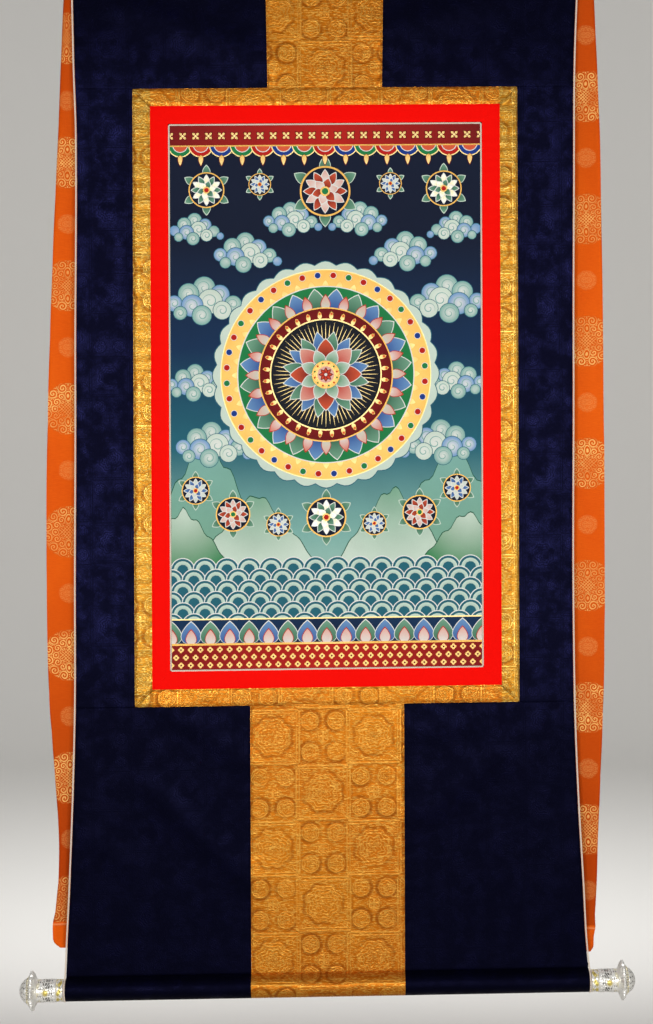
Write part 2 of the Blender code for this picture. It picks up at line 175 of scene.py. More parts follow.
class Socket:
    """An output of a node. A sum written on it adds Math nodes."""

    def __init__(self, nodes, output):
        self.nodes = nodes
        self.output = output

    def __add__(self, other):
        return self.nodes.maths("ADD", self, other)

    def __sub__(self, other):
        return self.nodes.maths("SUBTRACT", self, other)

    def __rsub__(self, other):
        return self.nodes.maths("SUBTRACT", other, self)

    def __mul__(self, other):
        return self.nodes.maths("MULTIPLY", self, other)

    def __truediv__(self, other):
        return self.nodes.maths("DIVIDE", self, other)

    def __rtruediv__(self, other):
        return self.nodes.maths("DIVIDE", other, self)

    def __neg__(self):
        return self.nodes.maths("MULTIPLY", self, -1)

    def __abs__(self):
        return self.nodes.maths("ABSOLUTE", self)

    __radd__ = __add__
    __rmul__ = __mul__

    def beside(self, output):
        """Another output of the same node."""
        return Socket(self.nodes, self.output.node.outputs[output])


class Nodes:
    """A tree of nodes, and the one way in which a node is added to it."""

    def __init__(self, tree):
        self.tree = tree

    def plug(self, socket, value):
        if isinstance(value, Socket):
            self.tree.links.new(value.output, socket)
        else:
            socket.default_value = value

    def node(self, kind, inputs, output=0, **settings):
        made = self.tree.nodes.new(kind)
        for setting, value in settings.items():
            setattr(made, setting, value)
        for key, value in inputs.items():
            self.plug(made.inputs[key], value)
        return Socket(self, made.outputs[output])

    def maths(self, operation, *values):
        return self.node("ShaderNodeMath", dict(enumerate(values)), operation=operation)


class Finish(Nodes):
    """A material: a Principled shader, and the nodes that vary it over the surface."""

    def __init__(self, name, **constants):
        self.material = bpy.data.materials.new(name)
        self.material.use_nodes = True
        super().__init__(self.material.node_tree)
        self.shader = self.tree.nodes["Principled BSDF"]
        for socket, value in constants.items():
            self.shader.inputs[socket.replace("_", " ")].default_value = value

    def set(self, **varying):
        """What the nodes feed to the shader's sockets."""
        for socket, value in varying.items():
            self.plug(self.shader.inputs[socket.replace("_", " ")], value)

    def mix(self, share, first, second):
        """From the first colour to the second by a share."""
        inputs = {0: share, 6: first, 7: second}
        return self.node("ShaderNodeMix", inputs, output=2, data_type="RGBA")

    def scaled(self, colour, value):
        """A colour made lighter or darker."""
        inputs = {0: colour if isinstance(colour, Socket) else colour[:3], 3: value}
        return self.node("ShaderNodeVectorMath", inputs, operation="SCALE")

    def rise(self, value, low, high):
        """0 below the low value, 1 above the high one, and a soft step between them."""
        inputs = {"Value": value, "From Min": low, "From Max": high}
        return self.node("ShaderNodeMapRange", inputs, interpolation_type="SMOOTHSTEP")

    def line(self, distance, half, soft=0.35):
        """1 where a distance is within half a line's width of 0."""
        return 1 - self.rise(abs(distance), half - soft, half + soft)

    def most(self, first, *others):
        """The largest of some values."""
        for other in others:
            first = self.maths("MAXIMUM", first, other)
        return first

    def far(self, across, up):
        """The distance from a motif's middle."""
        return self.maths("SQRT", across * across + up * up)

    def within(self, distance, radius, soft=0.45):
        """1 inside a radius."""
        return 1 - self.rise(distance, radius - soft, radius + soft)

    def rings(self, distance, apart, half):
        """1 on lines that lie so far apart."""
        return self.line(self.maths("PINGPONG", distance, apart / 2), half)

    def noise(self, scale, detail=3.0, stretch=(1, 1, 1), roughness=0.5):
        """Soft random patches, fixed to the object."""
        where = self.node("ShaderNodeTexCoord", {}, output="Object")
        placed = self.node("ShaderNodeMapping", {"Vector": where, "Scale": stretch})
        inputs = {"Vector": placed, "Scale": scale, "Detail": detail, "Roughness": roughness}
        return self.node("ShaderNodeTexNoise", inputs, output="Fac")

    def flat(self, by="UV"):
        """Across and up on the flat cloth, in millimetres, from its UV map in metres."""
        where = self.node("ShaderNodeTexCoord", {}, output=by)
        split = self.node("ShaderNodeSeparateXYZ", {0: where})
        return split * 1000, split.beside(1) * 1000

    def bump(self, height, distance):
        """Fine relief, so far from low to high in metres."""
        inputs = {"Height": height, "Distance": distance, "Strength": 1.0}
        self.set(Normal=self.node("ShaderNodeBump", inputs))


def tint(red, green, blue):
    """A colour mixed on a screen's scale of 0 to 255, as light."""
    share = np.array([red, green, blue]) / 255
    light = np.where(share <= 0.04045, share / 12.92, ((share + 0.055) / 1.055) ** 2.4)
    return (*light.tolist(), 1.0)


def plain(made, name, slot, *nodes):
    """The evaluated shape of an object as its plain mesh, riding on the scroll for its solids."""
    graph = bpy.context.evaluated_depsgraph_get()
    mesh = bpy.data.meshes.new_from_object(made.evaluated_get(graph))
    made.modifiers.clear()
    made.data = mesh
    made.name = mesh.name = name
    mesh.shade_smooth()
    mesh.set_sharp_from_angle(angle=math.radians(50))
    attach(made, "root")
    if nodes:
        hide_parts(*nodes)


def meshed(points, faces, flat, finish):
    """A mesh on the scroll. flat holds each point's place on the cloth as it was cut, for its UV map."""
    mesh = bpy.data.meshes.new("cloth")
    mesh.from_pydata(np.asarray(points).tolist(), [], faces)
    loops = np.zeros(len(mesh.loops), np.int32)
    mesh.loops.foreach_get("vertex_index", loops)
    mesh.uv_layers.new(name="flat").uv.foreach_set("vector", flat[loops].astype(np.float32).ravel())
    mesh.materials.append(finish.material)
    return added("cloth", mesh)


MIXED = dict(
    night=(7, 20, 46), deep=(12, 46, 82), teal=(34, 100, 116), mist=(128, 178, 168),
    pale=(205, 222, 206), white=(232, 233, 226), sage=(120, 168, 140), green=(30, 128, 70),
    leaf=(16, 84, 58), red=(190, 28, 20), wine=(108, 14, 16), coral=(222, 92, 58),
    rose=(232, 168, 150), blue=(22, 58, 140), sky=(112, 156, 202), ink=(18, 22, 32),
    charcoal=(44, 42, 46), gold=(206, 158, 78), straw=(232, 206, 140),
)
PAINTS = {paint: tint(*colour) for paint, colour in MIXED.items()}
HALF, TALL = PICTURE_WIDTH * 500, PICTURE_HEIGHT * 1000
GROUND = listed(
    "height paint",
    (0, "pale"), (200, "mist"), (330, "teal"), (480, "deep"), (640, "night"), (815, "night"),
)


class Drawing:
    """Filled outlines in millimetres from the foot of the picture's middle, each over the last."""

    def __init__(self):
        self.outlines = []
        self.fills = []

    def fill(self, outline, inner, outer=None, centre=None, reach=1.0):
        """One outline. Its paint turns from inner to outer over its reach from a centre."""
        outline = np.asarray(outline, float)
        across, up = outline.T
        area = np.dot(across, np.roll(up, -1)) - np.dot(up, np.roll(across, -1))
        if abs(area) < 0.5:
            return
        self.outlines.append(outline if area > 0 else outline[::-1])
        centre = outline.mean(0) if centre is None else centre
        self.fills.append((inner, outer or inner, np.asarray(centre, float), reach))

    def band(self, low, high, *paints):
        """A band across the whole picture."""
        self.fill([(-HALF, low), (HALF, low), (HALF, high), (-HALF, high)], *paints)

    def round(self, across, up, radius, inner, outer=None, lobes=0, depth=0.0):
        """A disc, or a lobed one."""
        count = max(10, int(radius * 1.4)) if not lobes else lobes * 6
        angle = np.linspace(0, 2 * math.pi, count, endpoint=False)
        r = radius + depth * (abs(np.cos(angle * lobes / 2)) - 1)
        outline = np.stack([across + r * np.cos(angle), up + r * np.sin(angle)], -1)
        self.fill(outline, inner, outer, (across, up), radius)

    def petal(self, across, up, aim, start, end, half, inner, outer, line="white"):
        """A pointed petal that aims at an angle, with its line and its fill."""
        for grow, paints in ((0.0, (line, line)), (1.0, (inner, outer))):
            t = np.linspace(0, 1, 9)
            along = start + grow * 0.6 + (end - start - 2.4 * grow) * t
            wide = (half - grow) * np.sin(math.pi * t**0.72) ** 0.8 * (1 - 0.12 * t)
            side = np.concatenate([wide, -wide[-2:0:-1]])
            long = np.concatenate([along, along[-2:0:-1]])
            points = long[:, None] * (math.cos(aim), math.sin(aim))
            points = points + side[:, None] * (-math.sin(aim), math.cos(aim)) + (across, up)
            base = (across + start * math.cos(aim), up + start * math.sin(aim))
            self.fill(points, *paints, centre=base, reach=end - start)

    def petals(self, across, up, count, start, end, half, paints, turn=0.0, line="white"):
        """A ring of petals, whose paints take turns."""
        for k in range(count):
            inner, outer = paints[k % len(paints)]
            aim = turn + 2 * math.pi * k / count
            self.petal(across, up, aim, start, end, half, inner, outer, line)

    def beads(self, across, up, count, radius, size, paints, line):
        """A ring of lined beads, whose paints take turns."""
        for k in range(count):
            aim = 2 * math.pi * (k + 0.5) / count
            at = (across + radius * math.cos(aim), up + radius * math.sin(aim))
            self.round(*at, size, line)
            self.round(*at, size - 0.8, paints[k % len(paints)])

    def stroke(self, path, width, paint):
        """A line that swells in its middle and thins to its ends."""
        path = np.asarray(path, float)
        ahead = np.gradient(path, axis=0)
        ahead /= np.linalg.norm(ahead, axis=1)[:, None]
        swell = width / 2 * np.sin(np.linspace(0.15, math.pi - 0.15, len(path)))[:, None]
        side = np.stack([-ahead[:, 1], ahead[:, 0]], -1) * swell
        self.fill(np.concatenate([path + side, (path - side)[::-1]]), paint)

    def curl(self, across, up, radius, turns, start, paint, width, hand):
        """A line that winds in to its middle."""
        angle = np.linspace(0, turns * 2 * math.pi, int(turns * 16) + 4)
        r = radius * (1 - 0.86 * angle / angle[-1])
        angle = start + hand * angle
        self.stroke(np.stack([across + r * np.cos(angle), up + r * np.sin(angle)], -1), width, paint)

    def cloud(self, across, up, size, hand, lobes):
        """A bank of curling cloud: round lobes, each laid over the last, with a curl in each of the
        larger ones.
        """
        for lobe in lobes:
            at = (across + hand * lobe["across"] * size, up + lobe["up"] * size)
            r = lobe["radius"] * size
            self.round(*at, r, "sky", "teal")
            self.round(*at, r - 0.9, "white", lobe["shade"])
            if r > 9:
                start = math.pi * (0.5 - 0.62 * hand)
                self.curl(*at, r * 0.66, 1.35, start, "mist", 1.5, hand)

    def rosette(self, across, up, size, colours):
        """A small ringed flower."""
        first, second, heart = colours
        self.round(across, up, size, "straw", "gold")
        self.round(across, up, size * 0.93, "ink", "night")
        self.petals(across, up, 12, size * 0.3, size * 0.88, size * 0.19, [first, second])
        self.petals(across, up, 6, size * 0.1, size * 0.56, size * 0.2, [second, first], turn=0.26)
        self.round(across, up, size * 0.2, "straw", "gold")
        self.round(across, up, size * 0.13, heart)


art = Drawing()
HILLS = listed(
    "across foot peak half paint foot_paint",
    (-180, 150, 345, 105, "mist", "sage"), (190, 150, 325, 120, "mist", "sage"),
    (-105, 150, 262, 95, "sage", "pale"), (100, 150, 270, 90, "sage", "pale"),
    (-215, 140, 240, 80, "pale", "green"), (212, 140, 232, 85, "pale", "green"),
)
for hill in HILLS:
    for inset, tone in ((0.0, "leaf"), (1.6, None)):
        share = np.linspace(-1, 1, 41)
        crag = 1 - abs(share) ** 1.25 + 0.045 * np.sin(share * 23 + hill["peak"]) * (1 - share**2)
        ridge = hill["foot"] + (hill["peak"] - hill["foot"] - inset) * crag
        line = np.stack([hill["across"] + share * (hill["half"] - inset), ridge], -1)
        top = (hill["across"], hill["peak"])
        colours = (tone, tone) if tone else (hill["paint"], hill["foot_paint"])
        art.fill(line, *colours, centre=top, reach=hill["peak"] - hill["foot"])

WAVE = 33.2
WAVE_RINGS = (("white", 1.0), ("teal", 0.92), ("mist", 0.74), ("teal", 0.46))
for row in range(5, -1, -1):
    height = 66 + row * WAVE * 0.5
    for k in range(-8, 9):
        across = (k + row % 2 * 0.5) * WAVE
        if abs(across) < HALF + WAVE / 2:
            for paint, size in WAVE_RINGS:
                art.round(across, height, WAVE * 0.56 * size, paint, "pale" if paint == "mist" else None)

CLOUD_BANK = listed(
    "across up radius shade",
    (0.0, 1.5, 0.95, "mist"), (-1.3, 0.9, 0.85, "sky"), (1.3, 1.0, 0.9, "mist"),
    (-2.4, 0.1, 0.75, "mist"), (2.5, 0.2, 0.7, "sky"), (-0.5, 0.35, 1.05, "pale"),
    (1.0, 0.0, 0.95, "sky"), (-1.5, -0.4, 0.8, "pale"), (2.0, -0.6, 0.6, "mist"),
    (0.2, -0.8, 0.85, "mist"), (-3.2, -0.5, 0.5, "sky"),
)
CLOUDS = listed(
    "across up size",
    (172, 330, 17), (196, 424, 14), (182, 545, 18), (120, 618, 15), (196, 655, 12), (52, 668, 13),
)
for bank in CLOUDS:
    for hand in (-1, 1):
        art.cloud(hand * bank["across"], bank["up"], bank["size"], hand, CLOUD_BANK)

MIDDLE = 440
art.round(0, MIDDLE, 171, "sky", "teal", lobes=32, depth=6)
art.round(0, MIDDLE, 169.6, "white", "pale", lobes=32, depth=6)
art.round(0, MIDDLE, 158, "gold", "straw")
art.round(0, MIDDLE, 156.6, "straw", "gold")
art.beads(0, MIDDLE, 40, 149, 5.2, ("green", "red", "blue", "red"), line="white")
art.petals(0, MIDDLE, 40, 128, 143, 6, [("gold", "straw"), ("straw", "gold")], line="gold")
art.round(0, MIDDLE, 133, "white")
art.round(0, MIDDLE, 131.4, "leaf", "green")
art.petals(0, MIDDLE, 24, 92, 130, 15.5, [("leaf", "sage"), ("blue", "sky")], turn=0.13)
art.petals(0, MIDDLE, 24, 96, 121, 8, [("pale", "rose"), ("white", "coral")], line="red")
art.round(0, MIDDLE, 101, "straw", "gold")
art.round(0, MIDDLE, 99, "red", "wine")
art.petals(0, MIDDLE, 32, 83, 97, 4.2, [("straw", "gold")], turn=0.1, line="wine")
art.beads(0, MIDDLE, 32, 91.5, 2.6, ("coral",), line="gold")
art.round(0, MIDDLE, 84, "gold", "straw")
art.round(0, MIDDLE, 82, "charcoal", "ink")
for ray in range(72):
    aim = 2 * math.pi * ray / 72
    reach = np.linspace(48, 79 - 4 * (ray % 2), 6)
    art.stroke(np.stack([reach * math.cos(aim), MIDDLE + reach * math.sin(aim)], -1), 0.9, "straw")
art.petals(0, MIDDLE, 16, 30, 66, 10.5, [("blue", "sky"), ("leaf", "sage")], turn=0.2)
art.petals(0, MIDDLE, 8, 22, 55, 14, [("wine", "coral"), ("red", "rose")])
art.petals(0, MIDDLE, 8, 16, 40, 10, [("green", "pale"), ("green", "pale")], turn=math.pi / 8)
art.round(0, MIDDLE, 21, "straw", "gold")
art.beads(0, MIDDLE, 12, 17.2, 2.2, ("red", "green"), line="gold")
art.round(0, MIDDLE, 12.6, "white", "rose")
art.petals(0, MIDDLE, 8, 2, 11, 3.2, [("red", "coral")], line="wine")

BLUE_FLOWER = (("blue", "sky"), ("white", "pale"), "red")
RED_FLOWER = (("wine", "coral"), ("white", "rose"), "green")
GREEN_FLOWER = (("leaf", "sage"), ("straw", "white"), "red")
ROSETTES = listed(
    "across up size colours",
    (0, 715, 38, RED_FLOWER), (178, 718, 27, GREEN_FLOWER), (98, 726, 17, BLUE_FLOWER),
    (196, 268, 21, BLUE_FLOWER), (140, 232, 26, RED_FLOWER), (0, 226, 30, GREEN_FLOWER),
    (72, 216, 18, BLUE_FLOWER),
)
for rosette in ROSETTES:
    for hand in (-1, 1) if rosette["across"] else (1,):
        for leaf in range(6):
            aim = math.pi * (leaf + 0.5) / 3
            size = rosette["size"]
            at = (hand * rosette["across"], rosette["up"])
            art.petal(*at, aim, size * 0.8, size * 1.42, size * 0.24, "leaf", "sage", "pale")
        art.rosette(*at, size, rosette["colours"])

VALANCE = 31.03
VALANCE_UP = 786
for k in range(15):
    across = (k - 7) * VALANCE
    paints = ("straw", ("green", "red", "blue")[k % 3], "white", "coral")
    for size, paint in zip((19, 17.4, 12, 10.8), paints):
        art.round(across, VALANCE_UP, size, paint)
    art.petal(across, VALANCE_UP, -math.pi / 2, 15, 33, 4.5, "gold", "straw", "wine")
art.band(783, TALL, "gold")
art.band(785, TALL, "red", "wine", (0, 790), 260)
FLOWER_STEP = 19.4
FLOWER_UP = 799
for k in range(-12, 13):
    at = (k * FLOWER_STEP, FLOWER_UP)
    art.petals(*at, 4, 1.5, 8.6, 3.0, [("straw", "gold")], turn=math.pi / 4, line="wine")
    art.round(*at, 1.9, "straw")

art.band(0, 76, "gold", "straw", (0, 0), 90)
art.band(0, 74, "night", "deep", (0, 0), 120)
LOTUS_STEP = 29.1
for k in range(-8, 9):
    at = (k * LOTUS_STEP, 36)
    art.petal(*at, math.pi / 2, 0, 37, 16.5, *(("blue", "sky") if k % 2 else ("leaf", "sage")))
    art.petal(*at, math.pi / 2, 0, 25, 9, "white", "rose", "red")
art.band(0, 39, "straw", "gold", (0, 0), 60)
art.band(0, 36, "red", "wine", (0, 40), 300)
STAR_STEP = 14.6
for row in range(3):
    for k in range(-16, 17):
        at = ((k + row % 2 * 0.5) * STAR_STEP, 6.4 + row * 11.6)
        art.round(*at, 4.6, "straw", "gold", lobes=4, depth=1.6)
        art.round(*at, 1.5, "wine")


def grid(step):
    """Points over the picture, a step apart."""
    across = np.linspace(-HALF, HALF, round(2 * HALF / step) + 1)
    up = np.linspace(0, TALL, round(TALL / step) + 1)
    return np.stack(np.meshgrid(across, up), -1).reshape(-1, 2)


def rim_of(points):
    """Which of the points lie on the picture's rim, in turn round it."""
    a, b = points[:, 0], points[:, 1] - TALL / 2
    rim = np.flatnonzero((abs(a) > HALF - 1e-3) | (abs(b) > TALL / 2 - 1e-3))
    return rim[np.argsort(np.arctan2(b[rim] / TALL, a[rim] / (2 * HALF)))]


def cut_along(outlines, rim, step):
    """The flat picture cut along outlines: its points, its triangles, and the last outline over each."""
    inner = grid(step)
    inner = np.delete(inner, rim_of(inner), axis=0)
    points = [Vector(p) for p in inner]
    loops = []
    for outline in (rim, *outlines):
        loops.append(list(range(len(points), len(points) + len(outline))))
        points += [Vector(p) for p in outline]
    places, _, faces, _, _, over = geometry.delaunay_2d_cdt(points, [], loops, 1, 1e-3)
    inside = [i for i, owners in enumerate(over) if 0 in owners]
    used, faces = np.unique([faces[i] for i in inside], return_inverse=True)
    top = np.array([max(over[i]) for i in inside])
    return np.array([tuple(places[i]) for i in used]), faces.reshape(-1, 3), top


def painted(drawing, at, over):
    """The paint at places in the picture, each under the outline that lies over it, and its gilding."""
    heights = [stop["height"] for stop in GROUND]
    colours = np.zeros((len(at), 4))
    for band in range(3):
        stops = [PAINTS[stop["paint"]][band] for stop in GROUND]
        colours[:, band] = np.interp(at[:, 1], heights, stops)
    inner = np.array([PAINTS[fill[0]][:3] for fill in drawing.fills])
    outer = np.array([PAINTS[fill[1]][:3] for fill in drawing.fills])
    gilt = np.array([fill[0] in ("gold", "straw") for fill in drawing.fills], float)
    centre = np.array([fill[2] for fill in drawing.fills])
    reach = np.array([fill[3] for fill in drawing.fills])
    drawn = over > 0
    which = over[drawn] - 1
    far = np.clip(np.linalg.norm(at[drawn] - centre[which], axis=1) / reach[which], 0, 1)[:, None]
    colours[drawn, :3] = inner[which] * (1 - far) + outer[which] * far
    colours[drawn, 3] = gilt[which]
    return colours


canvas = Finish("painted canvas", Specular_IOR_Level=0.3)
paint = canvas.node("ShaderNodeVertexColor", {}, layer_name="paint")
gilding = paint.beside("Alpha")
grain = canvas.noise(900, detail=2)
washes = canvas.noise(22, detail=4)
canvas.set(
    Base_Color=canvas.scaled(paint, 0.86 + 0.14 * grain + 0.18 * (washes - 0.5)),
    Metallic=gilding * 0.75,
    Roughness=0.82 - 0.42 * gilding + 0.1 * grain,
)
across, up = canvas.flat()
weave = canvas.maths("SINE", across * 7.4) * canvas.maths("SINE", up * 7.4)
canvas.bump(weave * 0.5 + grain + gilding * 1.4, 0.00006)

FRONT_STEP, BACK_STEP = 10, 20
edge = grid(FRONT_STEP)
front, faces, over = cut_along(art.outlines, edge[rim_of(edge)], FRONT_STEP)
colours = painted(art, front[faces.ravel()], np.repeat(over, 3))
front_rim = rim_of(front)
back, back_faces, _ = cut_along([], front[front_rim], BACK_STEP)
back_rim = rim_of(back) + len(front)
sides = [front_rim, back_rim, np.roll(back_rim, -1), np.roll(front_rim, -1)]
flat = np.concatenate([front, back]) / 1000
x, drop = flat[:, 0], PICTURE_DROP + PICTURE_HEIGHT - flat[:, 1]
behind = np.repeat([-CLOTH / 2, CLOTH / 2], [len(front), len(back)])
faces = [*faces.tolist(), *(back_faces[:, ::-1] + len(front)).tolist(), *np.stack(sides, -1).tolist()]
picture = meshed(hung(x, drop, behind), faces, flat, canvas)
paint = picture.data.color_attributes.new("paint", "FLOAT_COLOR", "CORNER")
bare = np.tile((*tint(196, 184, 158)[:3], 0.0), (len(picture.data.loops) - len(colours), 1))
paint.data.foreach_set("color", np.concatenate([colours, bare]).astype(np.float32).ravel())
plain(picture, "painted_canvas", "painted_canvas", "painting")


# The fine cord round the picture. Three cream strands twisted together, sewn down in the seam between
# the canvas and the red silk in one length, with its ends meeting at the foot of the picture.
STRANDS_PER_CORD = 3
STRAND_RADIUS = PIPING_DIAMETER / 2 / (1 + 2 / math.sqrt(3))
CORD_TWIST = 0.0085
CORD_STEP = 0.0013
CORNER = 0.0012


class Tree(Nodes):
    """A tree of Geometry Nodes with named sizes, for what repeats or follows a path."""

    def __init__(self, name, *sizes):
        super().__init__(bpy.data.node_groups.new(name, "GeometryNodeTree"))
        face = self.tree.interface
        face.new_socket("path", in_out="INPUT", socket_type="NodeSocketGeometry")
        face.new_socket("made", in_out="OUTPUT", socket_type="NodeSocketGeometry")
        self.sizes = {}
        for size in sizes:
            socket = face.new_socket(size, in_out="INPUT", socket_type="NodeSocketFloat")
            self.sizes[size] = socket.identifier
        self.given = self.tree.nodes.new("NodeGroupInput")

    def size(self, name):
        """One of the tree's named sizes."""
        return Socket(self, self.given.outputs[name])

    def joined(self, *parts):
        """Several shapes as one."""
        join = self.tree.nodes.new("GeometryNodeJoinGeometry")
        for part in parts:
            self.plug(join.inputs[0], part)
        return Socket(self, join.outputs[0])

    def end(self, shape, finish):
        """The tree's last nodes: one real mesh with its material."""
        whole = self.node("GeometryNodeRealizeInstances", {"Geometry": shape})
        inputs = {"Geometry": whole, "Material": finish.material}
        covered = self.node("GeometryNodeSetMaterial", inputs)
        self.plug(self.tree.nodes.new("NodeGroupOutput").inputs[0], covered)

    def along(self, points, edges, **sizes):
        """The tree's shape on a path of points, or at each of them."""
        mesh = bpy.data.meshes.new(self.tree.name)
        mesh.from_pydata(np.asarray(points).tolist(), edges, [])
        made = added(self.tree.name, mesh)
        follows = made.modifiers.new("tree", "NODES")
        follows.node_group = self.tree
        for size, value in sizes.items():
            follows[self.sizes[size]] = value
        return made


def chain(count, closed=False):
    """The edges of a path of points."""
    edges = [(i, i + 1) for i in range(count - 1)]
    return edges + [(count - 1, 0)] if closed else edges


def length_of(points, closed=False):
    """The length of a path of points."""
    ends = np.roll(points, -1, axis=0) - points
    return float(np.linalg.norm(ends if closed else ends[:-1], axis=1).sum())


cream = Finish("cream cord", Roughness=0.62, Sheen_Weight=0.25, Sheen_Roughness=0.4)
fibres = cream.noise(1400, detail=2)
wear = cream.noise(30, detail=4)
cream.set(Base_Color=cream.mix(fibres * 0.6 + wear * 0.4, tint(220, 198, 176), tint(252, 240, 226)))
cream.bump(fibres, 0.00008)

twisted = Tree("twisted cord", "strand radius", "twist length", "step")
strand = twisted.size("strand radius")
path = twisted.node("GeometryNodeMeshToCurve", {"Mesh": twisted.size("path")})
path = twisted.node(
    "GeometryNodeResampleCurve", {"Curve": path, "Length": twisted.size("step")}, mode="LENGTH"
)
far = twisted.node("GeometryNodeSplineParameter", {}, output="Length")
turn = far * (2 * math.pi) / twisted.size("twist length")
path = twisted.node("GeometryNodeSetCurveTilt", {"Curve": path, "Tilt": turn})
circle = twisted.node(
    "GeometryNodeCurvePrimitiveCircle", {"Resolution": 6, "Radius": strand}, mode="RADIUS"
)
strands = []
off_axis = 2 / math.sqrt(3)
for k in range(STRANDS_PER_CORD):
    aim = 2 * math.pi * k / STRANDS_PER_CORD
    off = {"X": strand * (off_axis * math.cos(aim)), "Y": strand * (off_axis * math.sin(aim))}
    off = twisted.node("ShaderNodeCombineXYZ", off)
    strands.append(twisted.node("GeometryNodeTransform", {"Geometry": circle, "Translation": off}))
inputs = {"Curve": path, "Profile Curve": twisted.joined(*strands), "Fill Caps": True}
twisted.end(twisted.node("GeometryNodeCurveToMesh", inputs), cream)


def cord(points, closed=False):
    """A twisted cord along a path, with whole turns in its length."""
    long = length_of(points, closed)
    twist = long / round(long / CORD_TWIST)
    sizes = {"strand radius": STRAND_RADIUS, "twist length": twist, "step": CORD_STEP}
    return twisted.along(points, chain(len(points), closed), **sizes)


reach_x = PICTURE_WIDTH / 2 + PIPING_DIAMETER / 2
top, foot = PICTURE_DROP - PIPING_DIAMETER / 2, PICTURE_DROP + PICTURE_HEIGHT + PIPING_DIAMETER / 2
ring = []
for x0, d0, x1, d1 in (
    (-reach_x, top + CORNER, -reach_x, foot - CORNER),
    (-reach_x + CORNER, foot, reach_x - CORNER, foot),
    (reach_x, foot - CORNER, reach_x, top + CORNER),
    (reach_x - CORNER, top, -reach_x + CORNER, top),
):
    count = round(math.hypot(x1 - x0, d1 - d0) / 0.005)
    ring.append(np.stack([np.linspace(x0, x1, count), np.linspace(d0, d1, count)], -1))
ring = np.concatenate(ring)
piping = cord(hung(ring[:, 0], ring[:, 1]), closed=True)
plain(piping, "picture_cord", "cream_piping", "picture_piping")


# The red border. Four strips of plain red satin, mitred at the corners and sewn along both edges, so
# that each edge rolls back into its seam and the thread's pull leaves small puckers beside it.
FRAME_WIDTH = PICTURE_WIDTH + 2 * (PIPING_DIAMETER + RED_BAND + GOLD_BAND)
FRAME_END = FRAME_DROP + PICTURE_HEIGHT + 2 * (PIPING_DIAMETER + RED_BAND + GOLD_BAND)
SEAM = ROLLER_DROP - 0.0184
TURN = 0.00085
SLEEVE_MIDDLE = 0.0158
SLEEVE_ALLOWANCE = 0.008
SEAM_GROOVE, GROOVE_HALF = 0.0013, 0.0018
SLIT = 0.00005
BAND_STEP = 0.0045

lift = ROLLER_DROP - SEAM
lean = math.acos(SLEEVE_MIDDLE / lift)
round_it = np.linspace(lean, 2 * math.pi - lean, 34)
SLEEVE_Y = np.array([0, *(-SLEEVE_MIDDLE * np.sin(round_it)), 2 * TURN, 2 * TURN])
SLEEVE_Z = np.array([lift, *(SLEEVE_MIDDLE * np.cos(round_it)), lift, lift + SLEEVE_ALLOWANCE])
SLEEVE_ALONG = np.concatenate([[0], np.cumsum(np.hypot(np.diff(SLEEVE_Y), np.diff(SLEEVE_Z)))])


def hang(x, s, behind=0.0):
    """Points of the mount so far down its cloth. Above the top edge the cloth turns over to the
    back, and below the seam at its foot it runs round the roller."""
    lead = s / TURN
    quarter = math.pi / 2
    drop = np.where(abs(lead) < quarter, TURN * (1 - np.cos(lead)), abs(s) - (quarter - 1) * TURN)
    over = TURN * (1 - np.sin(np.clip(lead, -quarter, quarter)))
    past = drop - SEAM
    fades = 1 - smooth((drop - 1.50) / 0.04)
    flat_part = hung(x, np.minimum(drop, SEAM), behind * fades + over)
    y, z = np.interp(past, SLEEVE_ALONG, SLEEVE_Y), np.interp(past, SLEEVE_ALONG, SLEEVE_Z)
    round_part = np.stack([x, y, z - ROLLER_DROP + x * ROLLER_RISE], -1)
    points = np.where((past > 0)[..., None], round_part, flat_part)
    level = np.where(past > 0, ROLLER_DROP - z, drop)
    points[..., 1] += SEAM_GROOVE * np.exp(-(((level - SEAM) / GROOVE_HALF) ** 2))
    return points


def spread(length, step, fine=(0.0006, 0.0014, 0.0026, 0.0042, 0.0064)):
    """Grid lines over a length in metres, as shares of it, close together beside its seams."""
    near = np.array(fine)
    middle = np.linspace(0.010, length - 0.010, max(2, round((length - 0.020) / step) + 1))
    return np.concatenate([[0], near, middle, length - near[::-1], [length]]) / length


def drawn_back(along, off):
    """How far a seam draws the cloth back: a roll at the edge, and puckers beside it."""
    pucker = np.sin(along * 349 + 1.7 * np.sin(along * 57)) * (1 - smooth(off / 0.024))
    return 0.0009 * (1 - smooth(off / 0.0042)) + 0.00032 * pucker


def quads(rows, columns):
    """The faces of a grid of points, row by row from the top left."""
    first = (np.arange(rows - 1)[:, None] * columns + np.arange(columns - 1)).ravel()
    return np.stack([first, first + columns, first + columns + 1, first + 1], -1).tolist()


def thicken(made, thickness):
    """Cloth of this thickness, half of it to each side."""
    layers = made.modifiers.new("thickness", "SOLIDIFY")
    layers.thickness = thickness
    layers.offset = 0


def woven(name, slot, node, finish, across, down, place, cut, sewn, shift=(0, 0)):
    """A piece of cloth in the mount. across and down are its grid lines as shares, place gives
    their flat points, cut is the rectangle it was cut from (not used), and sewn names its
    sewn edges."""
    u, v = np.meshgrid(across, down)
    x, s = place(u, v)
    wide, long = np.ptp(x), np.ptp(s)
    offs = {
        "left": (s, u * wide), "right": (s, (1 - u) * wide),
        "top": (x, v * long), "foot": (x, (1 - v) * long),
    }
    behind = sum(drawn_back(*offs[edge]) for edge in sewn)
    flat = np.stack([x + shift[0], shift[1] - s], -1).reshape(-1, 2)
    made = meshed(hang(x, s, behind).reshape(-1, 3), quads(*u.shape), flat, finish)
    thicken(made, CLOTH)
    plain(made, name, slot, node)


